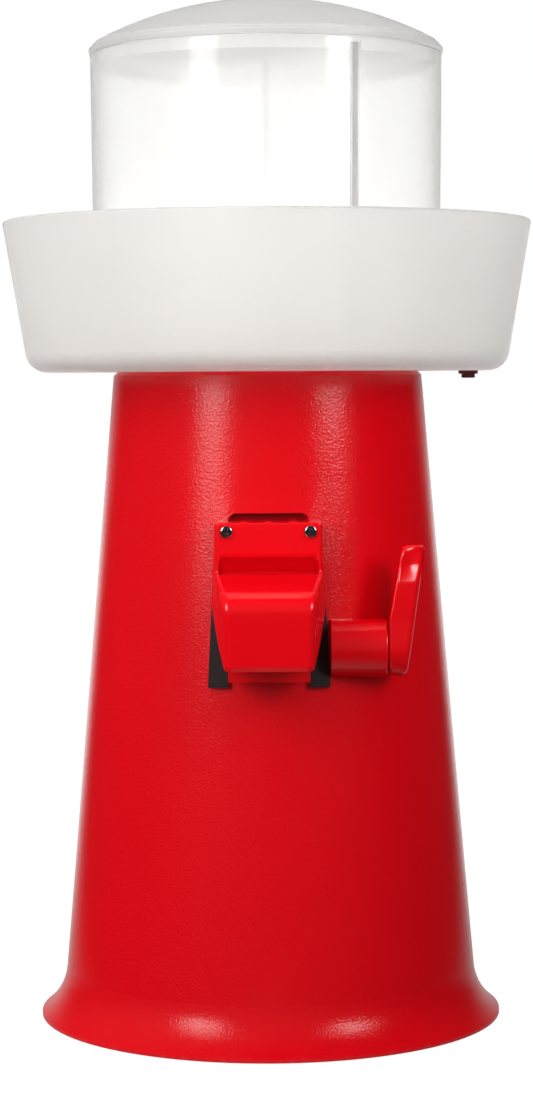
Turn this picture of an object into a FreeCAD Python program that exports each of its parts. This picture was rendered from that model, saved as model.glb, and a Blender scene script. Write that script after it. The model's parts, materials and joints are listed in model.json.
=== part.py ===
"""Electric drink dispenser: a flared stand, an ice tub, a three-chamber reservoir and a lever tap.

Millimetres. +Z is up, -Y is the front with the tap, and the origin is on the table under the
centre of the stand. Each function builds one piece, and build_all writes each piece to its file.
"""
import FreeCAD, Part
import math
import os

V = FreeCAD.Vector
X_AXIS = V(1, 0, 0)
Y_AXIS = V(0, 1, 0)
Z_AXIS = V(0, 0, 1)

# Stand: a cone that flares into a thin round lip
DECK_Z = 363.6
TOWER_TOP_R = 86.3
TOWER_DRAFT = 5.0
TOWER_WALL = 3.0
DECK_THICKNESS = 3.0
DECK_EDGE_ROUND = 2.0
LIP_R = 130.0
LIP_TOP_Z = 2.6
LIP_THICKNESS = 1.6
FLARE_R = 35.0

# Base plate and feet
FOOT_HEIGHT = 1.0
PLATE_THICKNESS = 3.0
PLATE_GAP = 0.8
PLATE_EDGE_SLOPE = 1.45
FOOT_R = 9.0
FOOT_SEAT_DEPTH = 1.5
FOOT_CIRCLE_R = 88.0
OUTER_FEET = 4
POST_R = 5.0
POST_CIRCLE_R = 99.0
POST_TOP_Z = 34.0
WEB_THICKNESS = 2.4
WEB_FOOT = 6.0
POST_COUNT = 4
POST_FIRST_ANGLE = 20.0
BASE_SCREW_R = 1.75
BASE_SCREW_LENGTH = 14.0
BASE_SCREW_HEAD_R = 3.4
BASE_SCREW_HEAD_HEIGHT = 1.2
BASE_SCREW_SINK = 0.2
BASE_SCREW_SPARE = 1.0
THREAD_BITE = 0.3
HEAD_CLEARANCE = 0.3
JOIN = 0.5

# Ice tub: a round drafted tub with a flat floor
TUB_RIM_R = 147.9
TUB_HEIGHT = 83.7
TUB_DRAFT = 9.5
TUB_WALL = 3.0
TUB_FLOOR = 3.0
TUB_CORNER_R = 12.0
TUB_COLLAR_WALL = 2.5
TUB_COLLAR_HEIGHT = 9.0
TUB_RING_GAP = 0.8
TUB_RING_WALL = 2.0
TUB_RING_HEIGHT = 4.0
DRAIN_X = 113.0
DRAIN_HOLE_R = 3.8
PLUG_FLANGE_R = 5.5
PLUG_FLANGE_HEIGHT = 1.9
PLUG_KNOB_R = 4.15
PLUG_KNOB_HEIGHT = 2.3
PLUG_SHANK_GAP = 0.3
PLUG_SHANK_LENGTH = 5.0
PLUG_EDGE = 0.6
PLUG_LEAD_IN = 1.2

# Reservoir: a clear cup with one wall across it and one radial wall
RESERVOIR_FLOOR_RISE = 14.4
RESERVOIR_DEPTH = 162.0
RESERVOIR_FLOOR_Z = DECK_Z + RESERVOIR_FLOOR_RISE
RESERVOIR_TOP_Z = RESERVOIR_FLOOR_Z + RESERVOIR_DEPTH
RESERVOIR_TOP_R = 98.0
RESERVOIR_DRAFT = 0.5
RESERVOIR_WALL = 2.6
RESERVOIR_FLOOR = 3.0
DIVIDER_TOP_GAP = 3.0
DIVIDER_TOP_WIDTH = 3.0
DIVIDER_FOOT_WIDTH = 4.0
DIVIDER_ANGLES = (-60.0, 60.0, 120.0)
SPIGOT_R = 7.6
SPIGOT_BORE_R = 4.5
SPIGOT_LENGTH = 10.5

# Outlets, one below each chamber: left, centre and right
OUTLETS = (V(-40, -23, 0), V(0, 24, 0), V(40, -23, 0))
SOCKET_GAP = 0.6
CUP_WALL = 3.0
CUP_FLOOR = 2.0
CUP_HEIGHT = 10.4
CUP_CLEARANCE = 0.4
THREAD_R = 8.5
THREAD_CLEARANCE = 0.2
NUT_ACROSS_FLATS = 23.0
NUT_HEIGHT = 5.0
TAIL_SHOULDER_R = 7.0
TAIL_SHOULDER_DROP = 13.6
TAIL_SHOULDER_Z = DECK_Z - TAIL_SHOULDER_DROP
TAIL_LENGTH = 11.0
TAIL_FIT = 0.05
SEAL_INNER_GAP = 1.0
SEAL_WIDTH = 3.2
SEAL_HEIGHT = 1.5
RING_SECTION_R = 0.95
RING_SOCKET_FIT = 0.05
RING_GROOVE_SPARE = 0.3
TAIL_BORE_WALL = 0.9

# Lid: a low dome with a stepped rim
LID_OVERHANG = 0.8
LID_STEP_IN = 1.6
LID_CREASE_IN = 1.5
LID_R = RESERVOIR_TOP_R + LID_OVERHANG
LID_STEP_R = LID_R - LID_STEP_IN
LID_CREASE_R = LID_STEP_R - LID_CREASE_IN
LID_RIM_HEIGHT = 3.0
LID_STEP_HEIGHT = 4.8
LID_CREASE_HEIGHT = 6.2
LID_DOME_HEIGHT = 23.8
LID_WALL = 2.4
LID_RING_GAP = 0.5
LID_RING_WALL = 1.8
LID_RING_DEPTH = 7.0
LID_NOTCH_GAP = 1.5
LID_EDGE = 0.6

# Peristaltic pump: its axis lies along X
PUMP_Y = -15.0
PUMP_BELOW_DECK = 107.6
PUMP_Z = DECK_Z - PUMP_BELOW_DECK
ROLLER_COUNT = 4
ROLLER_R = 5.5
ROLLER_CIRCLE_R = 17.0
ROLLER_CLEARANCE = 0.4
ROLLER_BORE_GAP = 0.05
AXLE_R = 1.5
ROTOR_DISC_R = 20.5
ROTOR_DISC_WIDTH = 2.2
ROTOR_HUB_R = 7.0
ROTOR_GAP = 0.4
ROLLER_END_GAP = 0.2
SHAFT_R = 3.0
SHAFT_FIT = 0.05
CHANNEL_PITCH = 14.5
RACE_WRAP = 20.0
TUBE_BORES_R = (2.8, 1.6, 2.25)
TUBE_WALL = 1.6
TUBE_GROOVE_GAP = 0.2
RACE_RIB_GAP = 1.0
FRAME_INNER_HALF = 22.0
FRAME_PLATE = 2.5
FRAME_REAR = 37.0
FRAME_BOTTOM = 35.0
FRAME_TOP = 16.0
FRAME_CORNER = 14.0
FRAME_FRONT_DROP = 38.0
FRAME_FRONT_RISE = 25.0
FRAME_FRONT_LOW_Z = PUMP_Z - FRAME_FRONT_DROP
FRAME_FRONT_HIGH_Z = PUMP_Z + FRAME_FRONT_RISE
FRAME_HIGH_STEP_Y = -80.0
FRAME_HIGH_FALL_Y = -50.0
FRAME_LOW_STEP_Y = -75.0
FRAME_LOW_RISE_Y = -40.0
BAR_Y = -86.0
BAR_THICKNESS = 3.0
BAR_RISE = 8.5
BAR_HEIGHT = 15.0
BAR_LOW_Z = PUMP_Z + BAR_RISE
BAR_HIGH_Z = BAR_LOW_Z + BAR_HEIGHT
BUSH_R = 5.0
SHAFT_END = 1.5
TUBE_STRAIGHT = 24.0
TUBE_ENTRY_RISE = 44.0
TUBE_BEND_Z = TAIL_SHOULDER_Z - TUBE_STRAIGHT
TUBE_ENTRY_Z = PUMP_Z + TUBE_ENTRY_RISE

# Gear motor on the left of the pump
GEARBOX_R = 12.5
GEARBOX_LENGTH = 22.0
MOTOR_R = 12.0
MOTOR_LENGTH = 30.0
MOTOR_ROUND = 1.5
MOTOR_BOSS_R = 3.0
MOTOR_SCREW_OFFSET = 9.0
MOTOR_SCREW_R = 1.25
MOTOR_SCREW_HEAD_R = 2.2
MOTOR_SCREW_HEAD = 1.2
MOTOR_SCREW_LENGTH = 7.0
SHAFT_IN_GEARBOX = 8.0

# Tap: nozzle block behind the hood's nose
BLOCK_BACK_Y = -80.0
BLOCK_STEP_Y = -102.0
BLOCK_WAIST_Y = -139.0
BLOCK_FRONT_Y = -157.5
BLOCK_TOP_DROP = 18.5
BLOCK_HEIGHT = 34.5
BLOCK_BACK_HEIGHT = 17.5
BLOCK_NOSE_HEIGHT = 22.5
BLOCK_TOP_Z = PUMP_Z - BLOCK_TOP_DROP
BLOCK_LOW_Z = BLOCK_TOP_Z - BLOCK_HEIGHT
BLOCK_BACK_LOW_Z = BLOCK_TOP_Z - BLOCK_BACK_HEIGHT
BLOCK_NOSE_LOW_Z = BLOCK_TOP_Z - BLOCK_NOSE_HEIGHT
BLOCK_HALF = 21.2
BLOCK_NOSE_HALF = 19.4
NOZZLE_Y = -150.0
NOZZLE_STICK_OUT = 2.5
NOZZLE_TIP_Z = BLOCK_NOSE_LOW_Z - NOZZLE_STICK_OUT
NOZZLE_WALL = 1.2
BARB_LENGTH = 9.0
BLOCK_SCREW_R = 1.5
BLOCK_SCREW_LENGTH = 10.0
BLOCK_SCREW_HEAD_R = 2.9
BLOCK_SCREW_HEAD = 2.0
BLOCK_SCREW_Y = -84.5
BLOCK_SCREW_DROP = 13.9
BLOCK_SCREW_Z = BLOCK_TOP_Z - BLOCK_SCREW_DROP
BLOCK_CHAMFER = 3.0

# Hood: heights are stacked from the lip, which hides the nozzle tips
HOOD_WALL = 2.2
HOOD_LIP_BELOW_TIPS = 1.9
HOOD_FACE_HEIGHT = 34.4
HOOD_NOSE_RISE = 6.2
HOOD_SHOULDER_RISE = 6.2
HOOD_BAND_FOOT = 1.2
HOOD_BAND_HEIGHT = 8.2
HOOD_PANEL_HEIGHT = 17.5
HOOD_HEEL_RISE = 29.4
HOOD_LIP_Z = NOZZLE_TIP_Z - HOOD_LIP_BELOW_TIPS
HOOD_NOSE_Z = HOOD_LIP_Z + HOOD_FACE_HEIGHT
HOOD_SHOULDER_Z = HOOD_NOSE_Z + HOOD_NOSE_RISE
HOOD_LEDGE_Z = HOOD_SHOULDER_Z + HOOD_SHOULDER_RISE
HOOD_BAND_LOW_Z = HOOD_LEDGE_Z + HOOD_BAND_FOOT
HOOD_PANEL_LOW_Z = HOOD_BAND_LOW_Z + HOOD_BAND_HEIGHT
HOOD_TOP_Z = HOOD_PANEL_LOW_Z + HOOD_PANEL_HEIGHT
HOOD_HEEL_Z = HOOD_LIP_Z + HOOD_HEEL_RISE
HOOD_PANEL_Y = -115.0
HOOD_STEP = 1.6
HOOD_LEDGE_Y = -121.0
HOOD_SHOULDER_Y = -155.0
HOOD_NOSE_Y = -162.5
HOOD_LIP_Y = -160.5
HOOD_HEEL_Y = -100.0
HOOD_BACK_Y = -92.0
HOOD_BACK_HALF_HIGH = 28.9
HOOD_BACK_HALF_LOW = 32.3
HOOD_FRONT_HALF_HIGH = 26.2
HOOD_FRONT_HALF_LOW = 22.3
HOOD_EDGE_R = 4.0
HOOD_SHELL_GAP = 0.3
HOOD_RIB_R = 5.0
HOOD_RIB_HEIGHT = 0.7
HOOD_RIB_PITCH = 13.0
HOOD_SCREW_X = 22.1
HOOD_SCREW_INSET = 4.8
HOOD_SCREW_Z = HOOD_TOP_Z - HOOD_SCREW_INSET
HOOD_SCREW_R = 1.5
HOOD_SCREW_HEAD_R = 3.25
HOOD_SCREW_HEAD = 1.9
HOOD_SCREW_LENGTH = 12.0
HOOD_SCREW_ROUND = 1.2
HOOD_BOSS_R = 3.8

# Window in the stand, and the black chassis on it
WINDOW_HALF = 21.9
WINDOW_DROP = 39.0
WINDOW_HEIGHT = 71.2
WINDOW_LOW_Z = PUMP_Z - WINDOW_DROP
WINDOW_TOP_Z = WINDOW_LOW_Z + WINDOW_HEIGHT
WINDOW_CORNER_R = 5.0
POCKET_BACK_Y = -84.5
POCKET_WALL = 2.0
POCKET_CHASSIS_GAP = 0.7
CHASSIS_THICKNESS = 3.0
CHASSIS_TOP_INSET = 2.5
CHASSIS_HEIGHT = 85.8
CHASSIS_HIGH_Z = HOOD_TOP_Z - CHASSIS_TOP_INSET
CHASSIS_LOW_Z = CHASSIS_HIGH_Z - CHASSIS_HEIGHT
CHASSIS_LOW_HALF = 32.6
CHASSIS_HIGH_HALF = 28.4
CHASSIS_NOTCH_HALF = 21.7
CHASSIS_NOTCH_GAP = 0.5
CHASSIS_NOTCH_TOP_Z = BAR_LOW_Z - CHASSIS_NOTCH_GAP
CHASSIS_BOSS_HIGH_X = 15.0
CHASSIS_BOSS_HIGH_Z = (BAR_LOW_Z + BAR_HIGH_Z) / 2
CHASSIS_BOSS_HIGH_R = 3.6
CHASSIS_BOSS_LOW_X = 27.5
CHASSIS_BOSS_LOW_RISE = 13.0
CHASSIS_BOSS_LOW_Z = CHASSIS_LOW_Z + CHASSIS_BOSS_LOW_RISE
CHASSIS_BOSS_LOW_R = 3.2
CHASSIS_BOSS_CLEARANCE = 0.3
CHASSIS_BOSS_SHORT = 0.5
CHASSIS_PAD_R = 5.5
CHASSIS_PAD_Y = -88.5
CHASSIS_SCREW_R = 1.4
CHASSIS_SCREW_LENGTH = 9.0
CHASSIS_SCREW_HEAD_R = 4.4
CHASSIS_SCREW_HEAD = 2.0

# Lever on the right of the tap
LEVER_Y = -92.0
LEVER_BELOW_PUMP = 40.0
LEVER_Z = PUMP_Z - LEVER_BELOW_PUMP
BARREL_R = 15.4
BARREL_X0 = 32.9
BARREL_X1 = 63.1
BARREL_WALL = 2.4
BARREL_END = 3.0
BARREL_ROUND = 1.2
LEVER_GAP = 0.5
HUB_R = 14.8
LEVER_LOW_X = 73.2
LEVER_HEIGHT = 55.5
LEVER_TOP_Z = LEVER_Z + LEVER_HEIGHT
LEVER_TOP_X0 = 71.2
LEVER_TOP_X1 = 83.8
LEVER_BEND_RISE = 15.0
LEVER_BEND_Z = LEVER_Z + LEVER_BEND_RISE
LEVER_BAR_FORWARD = 10.0
LEVER_BAR_BEHIND = 9.0
LEVER_BAR_FRONT_Y = LEVER_Y - LEVER_BAR_FORWARD
LEVER_BAR_BACK_Y = LEVER_Y + LEVER_BAR_BEHIND
LEVER_TIP_R = 9.5
LEVER_EDGE_R = 1.5
THUMB_RISE = 36.0
THUMB_Z = LEVER_Z + THUMB_RISE
THUMB_R = 26.0
THUMB_DEPTH = 3.2
LEVER_SHAFT_R = 3.0
LEVER_SHAFT_END_X = 71.0
LEVER_BUSH_R = 5.0
CAM_X = 44.4
CAM_WIDTH = 5.0
CAM_R = 7.0
CAM_LIFT = 0.9
CAM_STEPS = 9
SHAFT_INSET = 0.3
LEVER_THROW = 45.0
SPRING_X0 = 51.8
SPRING_COIL_R = 6.2
SPRING_WIRE_R = 0.6
SPRING_PITCH = 1.5
SPRING_TURNS = 4
SPRING_LEG = 5.0

# Microswitch behind the cam
SWITCH_WIDTH = 6.4
SWITCH_HEIGHT = 20.0
SWITCH_DEPTH = 10.6
SWITCH_HOLE_OFFSET = 4.75
SWITCH_HOLE_DEPTH = 7.4
SWITCH_TERMINAL = 5.5
SWITCH_SCREW_R = 1.0
SWITCH_SCREW_HEAD_R = 1.9
SWITCH_SCREW_HEAD = 1.3
SWITCH_SCREW_LENGTH = 9.0
PLUNGER_GAP = 0.15
PLUNGER_STICK_OUT = 2.0
PLUNGER_R = 1.2
PLUNGER_DEPTH = 4.0
PLUNGER_ROUND = 0.6
PLUNGER_SPARE = 0.3
PLUNGER_FIT = 0.05
TONGUE_THICKNESS = 2.8
TONGUE_HALF = 11.0
TONGUE_ROOT_HALF = 14.2
TONGUE_ROOT_Y = -88.4
TONGUE_END_Y = -68.0
HOUSING_SCREW_X = 35.6
HOUSING_SCREW_Z = 11.6
HOUSING_BOSS_WALL = 1.6
HOUSING_BOSS_FRONT_Y = -97.0
BUSH_BOSS_WALL = 2.0
HOUSING_SEAT_Y = -88.8
HOUSING_SCREW_R = 1.25
HOUSING_SCREW_LENGTH = 9.0
HOUSING_SCREW_HEAD_R = 2.3
HOUSING_SCREW_HEAD = 1.8
HOUSING_HOLE_HALF = 12.2
HOUSING_HOLE_X0 = 38.8
HOUSING_HOLE_GAP = 1.2
BUSH_RELIEF = 0.3

# Power inlet at the back, and the leads inside
INLET_Z = 42.0
INLET_R = 4.0
INLET_FLANGE_R = 6.0
INLET_FLANGE = 1.6
INLET_BODY_LENGTH = 17.0
INLET_BORE_R = 2.9
INLET_PIN_R = 1.0
INLET_BORE_DEPTH = 10.0
INLET_SEAT_Y = 112.6
INLET_SEAT_R = 8.0
INLET_PAD_R = 11.0
INLET_PAD = 4.0
INLET_NUT_FLATS = 12.0
INLET_NUT = 2.5
INLET_CLEARANCE = 0.2
SCREW_CLEARANCE = 0.2
LEAD_R = 1.7
LEAD_EXIT = 12.0
BIG = 400.0


def turned(steps):
    """Revolve a closed outline round Z: steps are (r, z) corners or ("arc", (r, z), (r, z))."""
    edges = []
    here = V(steps[0][0], 0, steps[0][1])
    for step in list(steps[1:]) + [steps[0]]:
        if step[0] == "arc":
            middle = V(step[1][0], 0, step[1][1])
            there = V(step[2][0], 0, step[2][1])
            edges.append(Part.Arc(here, middle, there).toShape())
        else:
            there = V(step[0], 0, step[1])
            if there.distanceToPoint(here) < 1e-6:
                continue
            edges.append(Part.LineSegment(here, there).toShape())
        here = there
    face = Part.Face(Part.Wire(edges))
    return face.revolve(V(0, 0, 0), Z_AXIS, 360)


def tube_z(r_out, r_in, z0, z1, centre=V(0, 0, 0)):
    """Ring with a vertical axis between two heights."""
    start = V(centre.x, centre.y, z0)
    outer = Part.makeCylinder(r_out, z1 - z0, start, Z_AXIS)
    return outer.cut(Part.makeCylinder(r_in, z1 - z0, start, Z_AXIS))


def disc_z(r, z0, z1, centre=V(0, 0, 0)):
    """Vertical cylinder between two heights."""
    return Part.makeCylinder(r, z1 - z0, V(centre.x, centre.y, z0), Z_AXIS)


def rod_x(r, x0, x1, y, z):
    """Cylinder along X."""
    return Part.makeCylinder(r, x1 - x0, V(x0, y, z), X_AXIS)


def rod_y(r, y0, y1, x, z):
    """Cylinder along Y."""
    return Part.makeCylinder(r, y1 - y0, V(x, y0, z), Y_AXIS)


def block(x0, x1, y0, y1, z0, z1):
    """Box between two corners."""
    return Part.makeBox(x1 - x0, y1 - y0, z1 - z0, V(x0, y0, z0))


def prism_x(points, x0, x1):
    """Polygon of (y, z) points pushed along X."""
    wire = Part.makePolygon([V(x0, y, z) for y, z in points + points[:1]])
    return Part.Face(wire).extrude(V(x1 - x0, 0, 0))


def prism_y(points, y0, y1):
    """Polygon of (x, z) points pushed along Y."""
    wire = Part.makePolygon([V(x, y0, z) for x, z in points + points[:1]])
    return Part.Face(wire).extrude(V(0, y1 - y0, 0))


def hexagon(flats, thickness, start, axis):
    """Hexagonal nut blank of the given width across flats."""
    corner_r = flats / math.sqrt(3)
    u = axis.cross(Z_AXIS if abs(axis.z) < 0.5 else X_AXIS)
    u.normalize()
    v = axis.cross(u)
    corners = []
    for i in range(7):
        a = math.radians(60 * i)
        corners.append(start + u * (corner_r * math.cos(a)) + v * (corner_r * math.sin(a)))
    return Part.Face(Part.makePolygon(corners)).extrude(axis * thickness)


def joined(shapes):
    """Fuse a list of solids into one and drop the seams between coplanar faces."""
    whole = shapes[0]
    for shape in shapes[1:]:
        whole = whole.fuse(shape)
    return whole.removeSplitter()


def less(shape, tools):
    """Cut each tool from a solid."""
    for tool in tools:
        shape = shape.cut(tool)
    return shape


def mirrored_x(shape):
    """The same solid on the other side of the plane X = 0."""
    return shape.mirror(V(0, 0, 0), X_AXIS)


def edges_where(shape, test):
    """Edges whose two ends both pass a test."""
    found = []
    for edge in shape.Edges:
        ends = [v.Point for v in edge.Vertexes]
        if len(ends) == 2 and all(test(p) for p in ends):
            found.append(edge)
    return found


def route(points, radii):
    """Straight runs joined by tangent arcs, and the length of the whole."""
    edges = []
    here = points[0]
    for i in range(1, len(points) - 1):
        before = points[i] - points[i - 1]
        after = points[i + 1] - points[i]
        turn = before.getAngle(after)
        reach = radii[i - 1] * math.tan(turn / 2)
        before.normalize()
        after.normalize()
        start = points[i] - before * reach
        end = points[i] + after * reach
        inward = after - before
        inward.normalize()
        middle = points[i] + inward * (radii[i - 1] / math.cos(turn / 2) - radii[i - 1])
        edges.append(Part.LineSegment(here, start).toShape())
        edges.append(Part.Arc(start, middle, end).toShape())
        here = end
    edges.append(Part.LineSegment(here, points[-1]).toShape())
    return Part.Wire(edges)


def swept(path, radius):
    """Round bar along a path."""
    first = path.Edges[0]
    start = first.valueAt(first.FirstParameter)
    ring = Part.Wire(Part.makeCircle(radius, start, first.tangentAt(first.FirstParameter)))
    return path.makePipeShell([ring], True, False)


def wide_radius(points, i, share=0.45):
    """Largest arc radius that both runs beside corner i allow."""
    before = points[i] - points[i - 1]
    after = points[i + 1] - points[i]
    run = min(before.Length, after.Length)
    return share * run / math.tan(before.getAngle(after) / 2)


def cone_r(z, offset=0.0):
    """Radius of the stand's straight wall at a height, moved outward by offset."""
    slope = math.radians(TOWER_DRAFT)
    return TOWER_TOP_R + (DECK_Z - z) * math.tan(slope) + offset / math.cos(slope)


def flare_points(wall):
    """Arc from the straight wall to the lip, for a surface lying wall inside the outer one."""
    slope = math.radians(TOWER_DRAFT)
    spread = (LIP_R - cone_r(LIP_TOP_Z)) * math.cos(slope) / FLARE_R
    last = slope + math.acos(1 - spread)
    centre_r = LIP_R + FLARE_R * math.cos(last)
    centre_z = LIP_TOP_Z + FLARE_R * math.sin(last)
    radius = FLARE_R + wall
    if wall:
        last = math.asin((centre_z - (LIP_TOP_Z - LIP_THICKNESS)) / radius)
    points = []
    for angle in (slope, (slope + last) / 2, last):
        points.append((centre_r - radius * math.cos(angle), centre_z - radius * math.sin(angle)))
    return points


def stand_envelope(offset=0.0):
    """Solid cone of the stand's straight wall, with the wall moved outward by offset."""
    return Part.makeCone(cone_r(0, offset), cone_r(BIG, offset), BIG)


def tower_shell():
    """Moulded stand: cone, flare and closed deck, open below."""
    outer = flare_points(0)
    inner = flare_points(TOWER_WALL)
    lip_low = LIP_TOP_Z - LIP_THICKNESS
    ceiling = DECK_Z - DECK_THICKNESS
    shell = turned([
        (0, DECK_Z),
        (cone_r(DECK_Z) - DECK_EDGE_ROUND, DECK_Z),
        (cone_r(DECK_Z - DECK_EDGE_ROUND), DECK_Z - DECK_EDGE_ROUND),
        outer[0],
        ("arc", outer[1], outer[2]),
        (LIP_R, lip_low),
        inner[2],
        ("arc", inner[1], inner[0]),
        (cone_r(ceiling, -TOWER_WALL), ceiling),
        (0, ceiling),
    ])
    filled = stand_envelope(-JOIN)
    posts = []
    for angle in post_angles():
        centre = polar(POST_CIRCLE_R, angle)
        post = disc_z(POST_R, plate_top(), POST_TOP_Z, centre)
        web_half = WEB_THICKNESS / 2
        web = block(POST_CIRCLE_R, LIP_R, -web_half, web_half, plate_top() + WEB_FOOT, POST_TOP_Z)
        web = web.rotated(V(0, 0, 0), Z_AXIS, angle)
        post = post.fuse(web).common(filled)
        hole_top = plate_top() + BASE_SCREW_LENGTH
        posts.append(post.cut(disc_z(BASE_SCREW_R - THREAD_BITE, plate_top(), hole_top, centre)))
    pads = [rod_y(INLET_PAD_R, INLET_SEAT_Y - INLET_PAD, LIP_R, 0, INLET_Z)]
    for x in (-CHASSIS_BOSS_LOW_X, CHASSIS_BOSS_LOW_X):
        pads.append(rod_y(CHASSIS_PAD_R, -LIP_R, CHASSIS_PAD_Y, x, CHASSIS_BOSS_LOW_Z))
    shell = joined([shell] + [pad.common(filled) for pad in pads] + posts)
    holes = [
        window_prism(0),
        rod_y(INLET_SEAT_R, INLET_SEAT_Y, LIP_R, 0, INLET_Z),
        rod_y(INLET_R + INLET_CLEARANCE, 0, LIP_R, 0, INLET_Z),
        housing_hole(),
    ]
    for outlet in OUTLETS:
        holes.append(disc_z(THREAD_R + THREAD_CLEARANCE, ceiling - 1, DECK_Z + 1, outlet))
    for x in (-CHASSIS_BOSS_LOW_X, CHASSIS_BOSS_LOW_X):
        reach = CHASSIS_BOSS_LOW_R + CHASSIS_BOSS_CLEARANCE
        holes.append(rod_y(reach, -LIP_R, CHASSIS_PAD_Y + 1, x, CHASSIS_BOSS_LOW_Z))
    for z in housing_screw_heights():
        hole_r = HOUSING_SCREW_R + SCREW_CLEARANCE
        holes.append(rod_y(hole_r, -LIP_R, HOUSING_SEAT_Y + 1, HOUSING_SCREW_X, z))
        holes.append(rod_y(HOUSING_SCREW_HEAD_R + HEAD_CLEARANCE, HOUSING_SEAT_Y, 0, HOUSING_SCREW_X, z))
    return joined([less(shell, holes), window_pocket()])


def window_pocket():
    """Back, sides and roof of the pocket that closes the window above the tap."""
    half = WINDOW_HALF + POCKET_WALL
    low = CHASSIS_HIGH_Z + POCKET_CHASSIS_GAP
    box = block(-half, half, -LIP_R, POCKET_BACK_Y, low, WINDOW_TOP_Z + POCKET_WALL)
    room = block(-LIP_R, LIP_R, -LIP_R, POCKET_BACK_Y - POCKET_WALL, 0, DECK_Z)
    return box.cut(window_prism(0).common(room)).common(stand_envelope(-JOIN))


def plate_top():
    """Height of the base plate's upper face."""
    return FOOT_HEIGHT + PLATE_THICKNESS


def polar(r, angle, z=0.0):
    """Point at a radius and an angle in degrees round Z."""
    a = math.radians(angle)
    return V(r * math.cos(a), r * math.sin(a), z)


def post_angles():
    """Angles of the screw posts round the stand."""
    return [POST_FIRST_ANGLE + 360.0 / POST_COUNT * i for i in range(POST_COUNT)]


def foot_centres():
    """Centres of the rubber feet: one in the middle, the others halfway between the posts."""
    step = 360.0 / OUTER_FEET
    outer = [polar(FOOT_CIRCLE_R, POST_FIRST_ANGLE + step * (i + 0.5)) for i in range(OUTER_FEET)]
    return [V(0, 0, 0)] + outer


def window_prism(gap):
    """Opening of the tap, with rounded upper corners."""
    half = WINDOW_HALF - gap
    top = WINDOW_TOP_Z - gap
    body = block(-half, half, -LIP_R, 0, WINDOW_LOW_Z + gap, top)
    corners = edges_where(body, lambda p: p.z > WINDOW_LOW_Z + WINDOW_HALF)
    lengthwise = [e for e in corners if e.Length > LIP_R / 2]
    return body.makeFillet(WINDOW_CORNER_R, lengthwise)


def base_plate():
    """Closing plate that fits inside the flare."""
    inner = flare_points(TOWER_WALL)
    centre_arc = inner[2][0] - PLATE_GAP
    narrow = centre_arc - PLATE_THICKNESS * PLATE_EDGE_SLOPE
    plate = turned([(0, FOOT_HEIGHT), (centre_arc, FOOT_HEIGHT), (narrow, plate_top()), (0, plate_top())])
    holes = []
    for angle in post_angles():
        centre = polar(POST_CIRCLE_R, angle)
        holes.append(disc_z(BASE_SCREW_R + SCREW_CLEARANCE, 0, plate_top(), centre))
        holes.append(disc_z(BASE_SCREW_HEAD_R + HEAD_CLEARANCE, 0, base_screw_seat_z(), centre))
    for centre in foot_centres():
        holes.append(disc_z(FOOT_R, 0, FOOT_HEIGHT + FOOT_SEAT_DEPTH, centre))
    return less(plate, holes)


def base_screw_seat_z():
    """Height of the face that the heads of the base screws bear on."""
    return FOOT_HEIGHT + BASE_SCREW_SINK + BASE_SCREW_HEAD_HEIGHT


def rubber_feet():
    """Round rubber feet set in the base plate."""
    top = FOOT_HEIGHT + FOOT_SEAT_DEPTH
    return Part.makeCompound([disc_z(FOOT_R, 0, top, centre) for centre in foot_centres()])


def base_screws():
    """Screws that hold the base plate to the posts."""
    screws = []
    for angle in post_angles():
        centre = polar(POST_CIRCLE_R, angle)
        seat = base_screw_seat_z()
        tip = plate_top() + BASE_SCREW_LENGTH - BASE_SCREW_SPARE
        head = disc_z(BASE_SCREW_HEAD_R, seat - BASE_SCREW_HEAD_HEIGHT, seat, centre)
        screws.append(head.fuse(disc_z(BASE_SCREW_R - THREAD_BITE, seat, tip, centre)))
    return Part.makeCompound(screws)


def tub_r(z, inset=0.0):
    """Radius of the tub's drafted wall at a height, moved inward by inset."""
    slope = math.radians(TUB_DRAFT)
    return TUB_RIM_R - (DECK_Z + TUB_HEIGHT - z) * math.tan(slope) - inset / math.cos(slope)


def tub_corner(inset, floor_z, radius):
    """Tangent points and middle of the rounded corner between floor and wall."""
    slope = math.radians(TUB_DRAFT)
    centre_z = floor_z + radius
    centre_r = tub_r(centre_z, inset) - radius / math.cos(slope)
    half = (math.pi / 2 - slope) / 2
    start = (centre_r, floor_z)
    middle = (centre_r + radius * math.sin(half), centre_z - radius * math.cos(half))
    end = (centre_r + radius * math.cos(slope), centre_z - radius * math.sin(slope))
    return start, middle, end


def tub_floor_z():
    """Height of the tub floor's upper face."""
    return DECK_Z + TUB_FLOOR


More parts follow.
